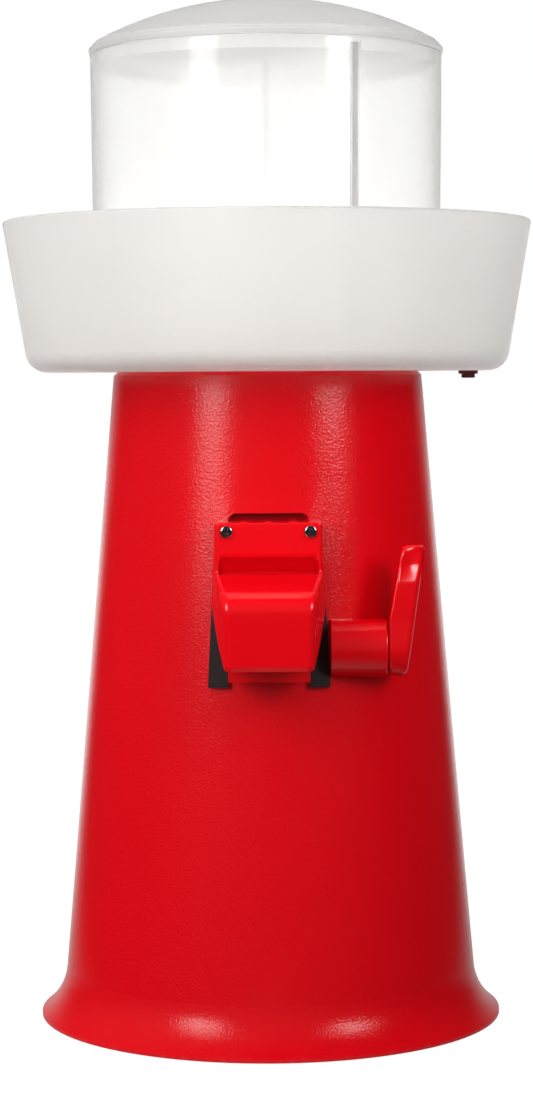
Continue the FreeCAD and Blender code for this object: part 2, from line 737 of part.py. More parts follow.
def ice_tub():
    """Frosted tub for ice round the reservoir, with a collar at each outlet."""
    rim_z = DECK_Z + TUB_HEIGHT
    out = tub_corner(0, DECK_Z, TUB_CORNER_R)
    inn = tub_corner(TUB_WALL, tub_floor_z(), TUB_CORNER_R - TUB_WALL)
    lip = TUB_WALL / 2
    shell = turned([
        (0, DECK_Z),
        out[0],
        ("arc", out[1], out[2]),
        (tub_r(rim_z - lip), rim_z - lip),
        ("arc", (tub_r(rim_z, lip), rim_z), (tub_r(rim_z - lip, TUB_WALL), rim_z - lip)),
        inn[2],
        ("arc", inn[1], inn[0]),
        (0, tub_floor_z()),
    ])
    ring_r = reservoir_r(tub_floor_z()) + TUB_RING_GAP
    parts = [shell, tube_z(ring_r + TUB_RING_WALL, ring_r, tub_floor_z(), tub_floor_z() + TUB_RING_HEIGHT)]
    holes = []
    for outlet in OUTLETS:
        bore = cup_r() + CUP_CLEARANCE
        collar_top = tub_floor_z() + TUB_COLLAR_HEIGHT
        parts.append(disc_z(bore + TUB_COLLAR_WALL, tub_floor_z() - 1, collar_top, outlet))
        holes.append(disc_z(bore, DECK_Z - 1, collar_top + 1, outlet))
        holes.append(seal_ring(outlet))
    holes.append(disc_z(DRAIN_HOLE_R, DECK_Z - 1, tub_floor_z() + 1, V(DRAIN_X, 0, 0)))
    return less(joined(parts), holes)


def cup_r():
    """Outer radius of an outlet coupler's cup."""
    return SPIGOT_R + SOCKET_GAP + CUP_WALL


def seal_ring(outlet):
    """Flat seal under the tub floor round one coupler."""
    inner = cup_r() + SEAL_INNER_GAP
    return tube_z(inner + SEAL_WIDTH, inner, DECK_Z, DECK_Z + SEAL_HEIGHT, outlet)


def tub_seals():
    """The three flat seals under the tub."""
    return Part.makeCompound([seal_ring(outlet) for outlet in OUTLETS])


def drain_plug():
    """Stopper pushed up into the drain hole of the tub floor."""
    flange_z = DECK_Z - PLUG_FLANGE_HEIGHT
    shank_r = DRAIN_HOLE_R - PLUG_SHANK_GAP
    plug = turned([
        (0, flange_z - PLUG_KNOB_HEIGHT),
        (PLUG_KNOB_R - PLUG_EDGE, flange_z - PLUG_KNOB_HEIGHT),
        (PLUG_KNOB_R, flange_z - PLUG_KNOB_HEIGHT + PLUG_EDGE),
        (PLUG_KNOB_R, flange_z),
        (PLUG_FLANGE_R, flange_z),
        (PLUG_FLANGE_R, DECK_Z),
        (shank_r, DECK_Z),
        (shank_r, DECK_Z + PLUG_SHANK_LENGTH - PLUG_LEAD_IN),
        (shank_r - PLUG_LEAD_IN, DECK_Z + PLUG_SHANK_LENGTH),
        (0, DECK_Z + PLUG_SHANK_LENGTH),
    ])
    return plug.translated(V(DRAIN_X, 0, 0))


def reservoir_r(z, inset=0.0):
    """Radius of the reservoir's outer wall at a height, moved inward by inset."""
    slope = math.radians(RESERVOIR_DRAFT)
    return RESERVOIR_TOP_R - (RESERVOIR_TOP_Z - z) * math.tan(slope) - inset / math.cos(slope)


def divider(angle, gap=0.0):
    """Radial wall from the centre outward, thicker at its foot."""
    top = RESERVOIR_TOP_Z - DIVIDER_TOP_GAP
    foot = RESERVOIR_FLOOR_Z + RESERVOIR_FLOOR / 2
    half_top = DIVIDER_TOP_WIDTH / 2 + gap
    half_foot = DIVIDER_FOOT_WIDTH / 2 + gap
    outline = [(-half_foot, foot), (half_foot, foot), (half_top, top), (-half_top, top)]
    wall = prism_x(outline, 0, RESERVOIR_TOP_R)
    return wall.rotated(V(0, 0, 0), Z_AXIS, angle)


def reservoir():
    """Clear cup with three chambers and an outlet spigot below each."""
    foot_z = tub_floor_z()
    floor_top = RESERVOIR_FLOOR_Z + RESERVOIR_FLOOR
    outer = [(reservoir_r(foot_z), foot_z), (reservoir_r(RESERVOIR_TOP_Z), RESERVOIR_TOP_Z)]
    body = turned([
        outer[0],
        outer[1],
        (reservoir_r(RESERVOIR_TOP_Z, RESERVOIR_WALL), RESERVOIR_TOP_Z),
        (reservoir_r(floor_top, RESERVOIR_WALL), floor_top),
        (0, floor_top),
        (0, RESERVOIR_FLOOR_Z),
        (reservoir_r(RESERVOIR_FLOOR_Z, RESERVOIR_WALL), RESERVOIR_FLOOR_Z),
        (reservoir_r(foot_z, RESERVOIR_WALL), foot_z),
    ])
    filled = turned([(0, foot_z), outer[0], outer[1], (0, RESERVOIR_TOP_Z)])
    walls = [divider(angle).common(filled) for angle in DIVIDER_ANGLES]
    post = disc_z(DIVIDER_FOOT_WIDTH / 2, RESERVOIR_FLOOR_Z + 1, RESERVOIR_TOP_Z - DIVIDER_TOP_GAP)
    spigots = []
    holes = []
    tip = RESERVOIR_FLOOR_Z - SPIGOT_LENGTH
    half_groove = RING_SECTION_R + RING_GROOVE_SPARE / 2
    for outlet in OUTLETS:
        spigots.append(disc_z(SPIGOT_R, tip, RESERVOIR_FLOOR_Z + 1, outlet))
        holes.append(disc_z(SPIGOT_BORE_R, tip - 1, floor_top + 1, outlet))
        low, high = ring_height() - half_groove, ring_height() + half_groove
        holes.append(tube_z(SPIGOT_R + 1, ring_reach() - 2 * RING_SECTION_R, low, high, outlet))
    return less(joined([body, post] + walls + spigots), holes)


def ring_height():
    """Height of the seal rings on the spigots."""
    return RESERVOIR_FLOOR_Z - SPIGOT_LENGTH / 2


def ring_reach():
    """Outer radius of a spigot's seal ring, which fits its socket."""
    return SPIGOT_R + SOCKET_GAP - RING_SOCKET_FIT


def spigot_ring(outlet):
    """Seal ring in the groove of one spigot, standing out by the socket gap."""
    ring = Part.makeTorus(ring_reach() - RING_SECTION_R, RING_SECTION_R, V(0, 0, ring_height()))
    return ring.translated(V(outlet.x, outlet.y, 0))


def spigot_seals():
    """Seal rings of the three spigots."""
    return Part.makeCompound([spigot_ring(outlet) for outlet in OUTLETS])


def outlet_coupler(outlet, bore_r):
    """Turned fitting through the deck: socket above, thread in the deck, hose tail below."""
    socket_r = SPIGOT_R + SOCKET_GAP
    tail_r = bore_r - TAIL_FIT
    tail_z = TAIL_SHOULDER_Z - TAIL_LENGTH
    channel = tail_r - TAIL_BORE_WALL
    body = turned([
        (channel, tail_z),
        (tail_r, tail_z),
        (tail_r, TAIL_SHOULDER_Z),
        (TAIL_SHOULDER_R, TAIL_SHOULDER_Z),
        (THREAD_R, TAIL_SHOULDER_Z + 2),
        (THREAD_R, DECK_Z),
        (cup_r(), DECK_Z),
        (cup_r(), DECK_Z + CUP_HEIGHT),
        (socket_r, DECK_Z + CUP_HEIGHT),
        (socket_r, DECK_Z + CUP_FLOOR),
        (channel, DECK_Z + CUP_FLOOR),
    ])
    return body.translated(V(outlet.x, outlet.y, 0))


def outlet_couplers():
    """The three outlet couplers."""
    return Part.makeCompound([outlet_coupler(o, r) for o, r in zip(OUTLETS, TUBE_BORES_R)])


def coupler_nuts():
    """Nuts that hold the couplers under the deck."""
    top = DECK_Z - DECK_THICKNESS
    nuts = []
    for outlet in OUTLETS:
        nut = hexagon(NUT_ACROSS_FLATS, NUT_HEIGHT, V(outlet.x, outlet.y, top - NUT_HEIGHT), Z_AXIS)
        nuts.append(nut.cut(disc_z(THREAD_R, top - NUT_HEIGHT, top, outlet)))
    return Part.makeCompound(nuts)


def lid():
    """Low domed lid with a stepped rim, and a ring inside that clears the chamber walls."""
    z = RESERVOIR_TOP_Z
    crease_z = z + LID_CREASE_HEIGHT
    apex_z = crease_z + LID_DOME_HEIGHT
    dome_r = (LID_CREASE_R ** 2 + LID_DOME_HEIGHT ** 2) / (2 * LID_DOME_HEIGHT)
    half = math.asin(LID_CREASE_R / dome_r) / 2
    top_mid = (dome_r * math.sin(half), apex_z - dome_r + dome_r * math.cos(half))
    inner_r = dome_r - LID_WALL
    ring_out = reservoir_r(z, RESERVOIR_WALL) - LID_RING_GAP
    ring_in = ring_out - LID_RING_WALL
    inner_start = math.asin(ring_in / inner_r)
    inner_edge = (ring_in, apex_z - dome_r + inner_r * math.cos(inner_start))
    inner_mid = (inner_r * math.sin(inner_start / 2), apex_z - dome_r + inner_r * math.cos(inner_start / 2))
    body = turned([
        (0, apex_z),
        ("arc", top_mid, (LID_CREASE_R, crease_z)),
        (LID_CREASE_R + LID_EDGE / 2, crease_z - LID_EDGE),
        (LID_STEP_R, z + LID_STEP_HEIGHT),
        (LID_STEP_R + LID_EDGE / 2, z + LID_STEP_HEIGHT - LID_EDGE),
        (LID_R, z + LID_RIM_HEIGHT),
        (LID_R, z),
        (ring_out, z),
        (ring_out, z - LID_RING_DEPTH),
        (ring_in, z - LID_RING_DEPTH),
        inner_edge,
        ("arc", inner_mid, (0, apex_z - LID_WALL)),
    ])
    notches = []
    for angle in DIVIDER_ANGLES:
        half_notch = DIVIDER_TOP_WIDTH / 2 + LID_NOTCH_GAP
        notch_top = z - DIVIDER_TOP_GAP + LID_NOTCH_GAP
        notch = block(ring_in - 1, ring_out + 1, -half_notch, half_notch, z - LID_RING_DEPTH - 1, notch_top)
        notches.append(notch.rotated(V(0, 0, 0), Z_AXIS, angle))
    return less(body, notches)


def channel_x(i):
    """X of tube i in the pump."""
    return (i - 1) * CHANNEL_PITCH


def tube_r(i):
    """Outer radius of tube i."""
    return TUBE_BORES_R[i] + TUBE_WALL


def wrap_r(i):
    """Radius of tube i's centre line round the pump's axis."""
    return ROLLER_CIRCLE_R + ROLLER_R + ROLLER_CLEARANCE + tube_r(i)


def pump_frame():
    """Frame of the pump: two side plates, the race between them, and a bar behind the tap."""
    back = PUMP_Y + FRAME_REAR
    low = PUMP_Z - FRAME_BOTTOM
    high = PUMP_Z + FRAME_TOP
    outer_half = FRAME_INNER_HALF + FRAME_PLATE
    outline = [
        (-LIP_R, FRAME_FRONT_LOW_Z), (-LIP_R, FRAME_FRONT_HIGH_Z), (FRAME_HIGH_STEP_Y, FRAME_FRONT_HIGH_Z),
        (FRAME_HIGH_FALL_Y, high), (back - FRAME_CORNER, high), (back, high - FRAME_CORNER),
        (back, low + FRAME_CORNER), (back - FRAME_CORNER, low), (FRAME_LOW_RISE_Y, low),
        (FRAME_LOW_STEP_Y, FRAME_FRONT_LOW_Z),
    ]
    plate = prism_x(outline, FRAME_INNER_HALF, outer_half).common(stand_envelope(-TOWER_WALL))
    bar = block(-FRAME_INNER_HALF, FRAME_INNER_HALF, BAR_Y, BAR_Y + BAR_THICKNESS, BAR_LOW_Z, BAR_HIGH_Z)
    race = block(-FRAME_INNER_HALF, FRAME_INNER_HALF, PUMP_Y, back, low, high)
    corner = [(back, low), (back - FRAME_CORNER, low), (back, low + FRAME_CORNER)]
    cuts = [prism_x(corner, -BIG, BIG)]
    rib_r = ROLLER_CIRCLE_R + ROLLER_R + RACE_RIB_GAP
    cuts.append(rod_x(rib_r, -FRAME_INNER_HALF, FRAME_INNER_HALF, PUMP_Y, PUMP_Z))
    for i in range(len(TUBE_BORES_R)):
        half = tube_r(i) + TUBE_GROOVE_GAP
        cuts.append(rod_x(wrap_r(i) + half, channel_x(i) - half, channel_x(i) + half, PUMP_Y, PUMP_Z))
    wrap = math.radians(RACE_WRAP)
    reach = FRAME_REAR * 2
    cuts.append(prism_x([
        (PUMP_Y, PUMP_Z), (PUMP_Y + reach * math.cos(wrap), PUMP_Z + reach * math.sin(wrap)),
        (PUMP_Y + reach, PUMP_Z + reach), (PUMP_Y, PUMP_Z + reach),
    ], -FRAME_INNER_HALF, FRAME_INNER_HALF))
    frame = joined([less(race, cuts), plate, mirrored_x(plate), bar])
    holes = [rod_x(BUSH_R, -BIG, BIG, PUMP_Y, PUMP_Z)]
    for z in motor_screw_heights():
        holes.append(rod_x(MOTOR_SCREW_R, -outer_half, -FRAME_INNER_HALF, PUMP_Y, z))
        holes.append(rod_x(MOTOR_SCREW_HEAD_R + SCREW_CLEARANCE, -FRAME_INNER_HALF - MOTOR_SCREW_HEAD,
                           -FRAME_INNER_HALF, PUMP_Y, z))
    for x in (-CHASSIS_BOSS_HIGH_X, CHASSIS_BOSS_HIGH_X):
        hole_r = CHASSIS_SCREW_R + SCREW_CLEARANCE
        holes.append(rod_y(hole_r, BAR_Y, BAR_Y + BAR_THICKNESS, x, CHASSIS_BOSS_HIGH_Z))
    holes.append(rod_x(BLOCK_SCREW_R + SCREW_CLEARANCE, -BIG, BIG, BLOCK_SCREW_Y, BLOCK_SCREW_Z))
    return less(frame, holes)


def motor_screw_heights():
    """Heights of the two gearbox screws."""
    return [PUMP_Z - MOTOR_SCREW_OFFSET, PUMP_Z + MOTOR_SCREW_OFFSET]


def pump_bushes():
    """Plain bushes of the pump shaft in the two side plates."""
    bush = rod_x(BUSH_R, FRAME_INNER_HALF, FRAME_INNER_HALF + FRAME_PLATE, PUMP_Y, PUMP_Z)
    bush = bush.cut(rod_x(SHAFT_R + SHAFT_FIT, -BIG, BIG, PUMP_Y, PUMP_Z))
    return Part.makeCompound([bush, mirrored_x(bush)])


def roller_centres():
    """Rest positions (y, z) of the rollers on the rotor."""
    centres = []
    for i in range(ROLLER_COUNT):
        a = math.radians(360.0 / ROLLER_COUNT * (i + 0.5))
        centres.append((PUMP_Y + ROLLER_CIRCLE_R * math.cos(a), PUMP_Z + ROLLER_CIRCLE_R * math.sin(a)))
    return centres


def rotor_half():
    """Half width of the rotor between the side plates."""
    return FRAME_INNER_HALF - ROTOR_GAP


def pump_rotor():
    """Hub and two discs that carry the roller axles."""
    inner = rotor_half() - ROTOR_DISC_WIDTH
    disc = rod_x(ROTOR_DISC_R, inner, rotor_half(), PUMP_Y, PUMP_Z)
    hub = rod_x(ROTOR_HUB_R, -inner, inner, PUMP_Y, PUMP_Z)
    holes = [rod_x(SHAFT_R, -BIG, BIG, PUMP_Y, PUMP_Z)]
    for y, z in roller_centres():
        holes.append(rod_x(AXLE_R, -BIG, BIG, y, z))
    return less(joined([hub, disc, mirrored_x(disc)]), holes)


def pump_shaft():
    """Gearbox output shaft through the rotor to the far bush."""
    gearbox_face = -(FRAME_INNER_HALF + FRAME_PLATE)
    return rod_x(SHAFT_R, gearbox_face - SHAFT_IN_GEARBOX, SHAFT_END - gearbox_face, PUMP_Y, PUMP_Z)


def roller_axles():
    """Axles of the rollers, pressed into the discs."""
    half = rotor_half()
    return Part.makeCompound([rod_x(AXLE_R, -half, half, y, z) for y, z in roller_centres()])


def pump_roller(i):
    """Roller i with its bore."""
    y, z = roller_centres()[i]
    half = rotor_half() - ROTOR_DISC_WIDTH - ROLLER_END_GAP
    return rod_x(ROLLER_R, -half, half, y, z).cut(rod_x(AXLE_R + ROLLER_BORE_GAP, -half, half, y, z))


def gearbox():
    """Round gearbox on the left plate, with a socket for the shaft."""
    face = -(FRAME_INNER_HALF + FRAME_PLATE)
    body = rod_x(GEARBOX_R, face - GEARBOX_LENGTH, face, PUMP_Y, PUMP_Z)
    holes = [rod_x(SHAFT_R + SHAFT_FIT, face - SHAFT_IN_GEARBOX - 1, face, PUMP_Y, PUMP_Z)]
    for z in motor_screw_heights():
        holes.append(rod_x(MOTOR_SCREW_R, face - MOTOR_SCREW_LENGTH, face, PUMP_Y, z))
    return less(body, holes)


def motor():
    """Motor can with a small rear bearing boss."""
    face = -(FRAME_INNER_HALF + FRAME_PLATE + GEARBOX_LENGTH)
    can = rod_x(MOTOR_R, face - MOTOR_LENGTH, face, PUMP_Y, PUMP_Z)
    can = can.makeFillet(MOTOR_ROUND, [e for e in can.Edges if e.BoundBox.XMax < face - MOTOR_LENGTH / 2])
    return joined([can, rod_x(MOTOR_BOSS_R, face - MOTOR_LENGTH - MOTOR_ROUND, face - 1, PUMP_Y, PUMP_Z)])


def motor_screws():
    """Countersunk screws from the side plate into the gearbox."""
    seat = -FRAME_INNER_HALF - MOTOR_SCREW_HEAD
    tip = -(FRAME_INNER_HALF + FRAME_PLATE) - MOTOR_SCREW_LENGTH + 1
    screws = []
    for z in motor_screw_heights():
        head = rod_x(MOTOR_SCREW_HEAD_R, seat, -FRAME_INNER_HALF, PUMP_Y, z)
        screws.append(head.fuse(rod_x(MOTOR_SCREW_R, tip, seat, PUMP_Y, z)))
    return Part.makeCompound(screws)


def feed_tube(i):
    """Silicone tube from a coupler, round the race, to the nozzle block."""
    outlet = OUTLETS[i]
    x = channel_x(i)
    r = wrap_r(i)
    wrap = math.radians(RACE_WRAP)
    entry_y = PUMP_Y + r * math.cos(wrap) - (TUBE_ENTRY_Z - PUMP_Z - r * math.sin(wrap)) * math.tan(wrap)
    corner_y = PUMP_Y + r * (math.cos(wrap) + (1 + math.sin(wrap)) * math.tan(wrap))
    points = [
        V(outlet.x, outlet.y, TAIL_SHOULDER_Z),
        V(outlet.x, outlet.y, TUBE_BEND_Z),
        V(x, entry_y, TUBE_ENTRY_Z),
        V(x, corner_y, PUMP_Z - r),
        V(x, BLOCK_BACK_Y, PUMP_Z - r),
    ]
    radii = [wide_radius(points, 1), wide_radius(points, 2), r]
    path = route(points, radii)
    tube = swept(path, tube_r(i)).cut(swept(path, TUBE_BORES_R[i]))
    section = math.pi * (tube_r(i) ** 2 - TUBE_BORES_R[i] ** 2)
    print("tube", i, "bend radii", [round(v, 1) for v in radii],
          "volume over section times length", round(tube.Volume / (section * path.Length), 4))
    return tube


def tap_chassis():
    """Black saddle plate on the stand, open below, with bosses for the hood and for the pump frame."""
    outline = [
        (-CHASSIS_LOW_HALF, CHASSIS_LOW_Z), (CHASSIS_LOW_HALF, CHASSIS_LOW_Z),
        (CHASSIS_HIGH_HALF, CHASSIS_HIGH_Z), (-CHASSIS_HIGH_HALF, CHASSIS_HIGH_Z),
    ]
    front = prism_y(outline, -LIP_R, 0)
    notch = block(-CHASSIS_NOTCH_HALF, CHASSIS_NOTCH_HALF, -LIP_R, 0, 0, CHASSIS_NOTCH_TOP_Z)
    skin = stand_envelope(CHASSIS_THICKNESS).cut(stand_envelope())
    plate = skin.common(front).cut(notch)
    parts = [plate]
    inside = stand_envelope(CHASSIS_THICKNESS / 2)
    for sign in (-1, 1):
        high = rod_y(CHASSIS_BOSS_HIGH_R, -LIP_R, BAR_Y, sign * CHASSIS_BOSS_HIGH_X, CHASSIS_BOSS_HIGH_Z)
        low_end = CHASSIS_PAD_Y - CHASSIS_BOSS_SHORT
        low = rod_y(CHASSIS_BOSS_LOW_R, -LIP_R, low_end, sign * CHASSIS_BOSS_LOW_X, CHASSIS_BOSS_LOW_Z)
        parts.append(high.common(inside))
        parts.append(low.common(inside))
        boss = rod_y(HOOD_BOSS_R, hood_panel_inner_y(), BAR_Y, sign * HOOD_SCREW_X, HOOD_SCREW_Z)
        boss = boss.cut(stand_envelope(CHASSIS_THICKNESS / 2))
        parts.append(boss.cut(block(-BIG, BIG, -BIG, BIG, CHASSIS_HIGH_Z, BIG)))
    holes = []
    for sign in (-1, 1):
        holes.append(rod_y(CHASSIS_SCREW_R, BAR_Y - CHASSIS_SCREW_LENGTH + BAR_THICKNESS, BAR_Y,
                           sign * CHASSIS_BOSS_HIGH_X, CHASSIS_BOSS_HIGH_Z))
        holes.append(rod_y(CHASSIS_SCREW_R, CHASSIS_PAD_Y - CHASSIS_SCREW_LENGTH, CHASSIS_PAD_Y,
                           sign * CHASSIS_BOSS_LOW_X, CHASSIS_BOSS_LOW_Z))
        holes.append(rod_y(HOOD_SCREW_R, hood_panel_inner_y(), HOOD_PANEL_Y + HOOD_SCREW_LENGTH,
                           sign * HOOD_SCREW_X, HOOD_SCREW_Z))
    return less(joined(parts), holes)


def chassis_screws():
    """Screws from inside the stand into the bosses of the tap chassis."""
    screws = []
    for sign in (-1, 1):
        for x, z, seat in ((CHASSIS_BOSS_HIGH_X, CHASSIS_BOSS_HIGH_Z, BAR_Y + BAR_THICKNESS),
                           (CHASSIS_BOSS_LOW_X, CHASSIS_BOSS_LOW_Z, CHASSIS_PAD_Y)):
            head = rod_y(CHASSIS_SCREW_HEAD_R, seat, seat + CHASSIS_SCREW_HEAD, sign * x, z)
            shank = rod_y(CHASSIS_SCREW_R, seat - CHASSIS_SCREW_LENGTH, seat, sign * x, z)
            screws.append(head.fuse(shank))
    return Part.makeCompound(screws)


def hood_panel_inner_y():
    """Plane on which the hood bosses end."""
    return HOOD_PANEL_Y + HOOD_STEP + HOOD_WALL


def hood_taper(inset):
    """Four-sided form that narrows toward the front, moved inward by inset, with spare height."""
    rings = []
    high = HOOD_TOP_Z
    low = HOOD_LIP_Z
    spare = (high - low) / 4
    for y, half_high, half_low in ((HOOD_BACK_Y, HOOD_BACK_HALF_HIGH, HOOD_BACK_HALF_LOW),
                                   (HOOD_NOSE_Y, HOOD_FRONT_HALF_HIGH, HOOD_FRONT_HALF_LOW)):
        flare = (half_low - half_high) / 4
        top = half_high - inset - flare
        foot = half_low - inset + flare
        corners = [V(-top, y, high + spare), V(top, y, high + spare),
                   V(foot, y, low - spare), V(-foot, y, low - spare)]
        rings.append(Part.makePolygon(corners + corners[:1]))
    return Part.makeLoft(rings, True, True)


def tap_hood():
    """Red hood: screwed panel, sunk band, ledge, sloping shoulder and blunt nose, open below and behind."""
    outline = [
        (HOOD_BACK_Y, HOOD_TOP_Z), (HOOD_PANEL_Y, HOOD_TOP_Z), (HOOD_PANEL_Y, HOOD_PANEL_LOW_Z),
        (HOOD_PANEL_Y + HOOD_STEP, HOOD_PANEL_LOW_Z - HOOD_STEP), (HOOD_PANEL_Y + HOOD_STEP, HOOD_BAND_LOW_Z),
        (HOOD_LEDGE_Y + HOOD_BAND_FOOT, HOOD_BAND_LOW_Z), (HOOD_LEDGE_Y, HOOD_LEDGE_Z),
        (HOOD_SHOULDER_Y, HOOD_SHOULDER_Z), (HOOD_NOSE_Y, HOOD_NOSE_Z), (HOOD_LIP_Y, HOOD_LIP_Z),
        (HOOD_HEEL_Y, HOOD_HEEL_Z), (HOOD_BACK_Y, HOOD_HEEL_Z),
    ]
    form = hood_taper(0).common(prism_x(outline, -BIG, BIG))
    nose = [e for e in form.Edges if is_nose_edge(e)]
    form = form.makeFillet(HOOD_EDGE_R, nose)
    wall = HOOD_WALL
    inner_y = hood_panel_inner_y()
    inner_outline = [
        (0, HOOD_TOP_Z - wall), (inner_y, HOOD_TOP_Z - wall), (inner_y, HOOD_LEDGE_Z - wall),
        (HOOD_SHOULDER_Y, HOOD_SHOULDER_Z - wall), (HOOD_NOSE_Y + wall, HOOD_NOSE_Z - wall / 2),
        (HOOD_LIP_Y + wall, HOOD_LIP_Z), (HOOD_LIP_Y + wall, 0), (0, 0),
    ]
    hollow = hood_taper(wall).common(prism_x(inner_outline, -BIG, BIG))
    ribs = []
    for side in (-1, 0, 1):
        rib = rod_y(HOOD_RIB_R, HOOD_PANEL_Y + 1, HOOD_BACK_Y, side * HOOD_RIB_PITCH,
                    HOOD_TOP_Z + HOOD_RIB_HEIGHT - HOOD_RIB_R)
        ribs.append(rib.cut(block(-BIG, BIG, -BIG, BIG, 0, HOOD_TOP_Z - wall / 2)))
    hood = joined([form.cut(hollow)] + ribs)
    cuts = [stand_envelope(CHASSIS_THICKNESS + HOOD_SHELL_GAP)]
    for x in (-HOOD_SCREW_X, HOOD_SCREW_X):
        cuts.append(rod_y(HOOD_SCREW_R + SCREW_CLEARANCE, -BIG, 0, x, HOOD_SCREW_Z))
    return less(hood, cuts)


def is_nose_edge(edge):
    """True for the two upright front corners of the hood."""
    ends = [v.Point for v in edge.Vertexes]
    upright = abs(ends[0].z - ends[-1].z) > (HOOD_NOSE_Z - HOOD_LIP_Z) / 2
    return upright and all(p.y < HOOD_SHOULDER_Y for p in ends)


def hood_screws():
    """Two pan-head screws on the hood's panel."""
    screws = []
    for x in (-HOOD_SCREW_X, HOOD_SCREW_X):
        seat = HOOD_PANEL_Y
        head = rod_y(HOOD_SCREW_HEAD_R, seat - HOOD_SCREW_HEAD, seat, x, HOOD_SCREW_Z)
        head = head.makeFillet(HOOD_SCREW_ROUND, [e for e in head.Edges if e.BoundBox.YMax < seat - 1])
        shank = rod_y(HOOD_SCREW_R, seat, seat + HOOD_SCREW_LENGTH - 1, x, HOOD_SCREW_Z)
        screws.append(head.fuse(shank))
    return Part.makeCompound(screws)


def nozzle_block():
    """Manifold behind the hood's nose: barbs at the back, channels inside and nozzles pointing down."""
    body = prism_x([
        (BLOCK_BACK_Y, BLOCK_BACK_LOW_Z), (BLOCK_BACK_Y, BLOCK_TOP_Z), (BLOCK_WAIST_Y, BLOCK_TOP_Z),
        (BLOCK_WAIST_Y, BLOCK_LOW_Z), (BLOCK_STEP_Y, BLOCK_LOW_Z), (BLOCK_STEP_Y, BLOCK_BACK_LOW_Z),
    ], -BLOCK_HALF, BLOCK_HALF)
    nose = prism_x([
        (BLOCK_WAIST_Y, BLOCK_NOSE_LOW_Z), (BLOCK_WAIST_Y, BLOCK_TOP_Z),
        (BLOCK_FRONT_Y + BLOCK_CHAMFER, BLOCK_TOP_Z), (BLOCK_FRONT_Y, BLOCK_TOP_Z - BLOCK_CHAMFER),
        (BLOCK_FRONT_Y, BLOCK_NOSE_LOW_Z),
    ], -BLOCK_NOSE_HALF, BLOCK_NOSE_HALF)
    parts = [body, nose]
    holes = []
    for i, bore_r in enumerate(TUBE_BORES_R):
        z = PUMP_Z - wrap_r(i)
        x = channel_x(i)
        barb_r = bore_r - TAIL_FIT
        channel = barb_r - TAIL_BORE_WALL
        parts.append(rod_y(barb_r, BLOCK_BACK_Y - 1, BLOCK_BACK_Y + BARB_LENGTH, x, z))
        parts.append(disc_z(channel + NOZZLE_WALL, NOZZLE_TIP_Z, z, V(x, NOZZLE_Y, 0)))
        holes.append(rod_y(channel, NOZZLE_Y, BLOCK_BACK_Y + BARB_LENGTH + 1, x, z))
        holes.append(disc_z(channel, NOZZLE_TIP_Z - 1, z, V(x, NOZZLE_Y, 0)))
    for sign in (-1, 1):
        start = BLOCK_HALF * sign
        inner = start - sign * BLOCK_SCREW_LENGTH
        holes.append(rod_x(BLOCK_SCREW_R, min(start, inner), max(start, inner), BLOCK_SCREW_Y, BLOCK_SCREW_Z))
    return less(joined(parts), holes)


def nozzle_block_screws():
    """Screws through the side plates of the frame into the nozzle block."""
    seat = FRAME_INNER_HALF + FRAME_PLATE
    screw = rod_x(BLOCK_SCREW_HEAD_R, seat, seat + BLOCK_SCREW_HEAD, BLOCK_SCREW_Y, BLOCK_SCREW_Z)
    tip = BLOCK_HALF - BLOCK_SCREW_LENGTH + 1
    screw = screw.fuse(rod_x(BLOCK_SCREW_R, tip, seat, BLOCK_SCREW_Y, BLOCK_SCREW_Z))
    return Part.makeCompound([screw, mirrored_x(screw)])


def tongue_x():
    """Side of the tongue that the microswitch lies against."""
    return CAM_X + SWITCH_WIDTH / 2


def housing_hole():
    """Opening in the stand behind the lever housing."""
    x1 = tongue_x() + TONGUE_THICKNESS + HOUSING_HOLE_GAP
    low = LEVER_Z - HOUSING_HOLE_HALF
    high = LEVER_Z + HOUSING_HOLE_HALF
    relief_r = LEVER_BUSH_R + BUSH_BOSS_WALL + BUSH_RELIEF
    relief = rod_x(relief_r, BARREL_X0 - BUSH_RELIEF, HOUSING_HOLE_X0, LEVER_Y, LEVER_Z)
    return block(HOUSING_HOLE_X0, x1, -LIP_R, 0, low, high).fuse(relief)


def housing_screw_heights():
    """Heights of the two screws of the lever housing."""
    return [LEVER_Z - HOUSING_SCREW_Z, LEVER_Z + HOUSING_SCREW_Z]


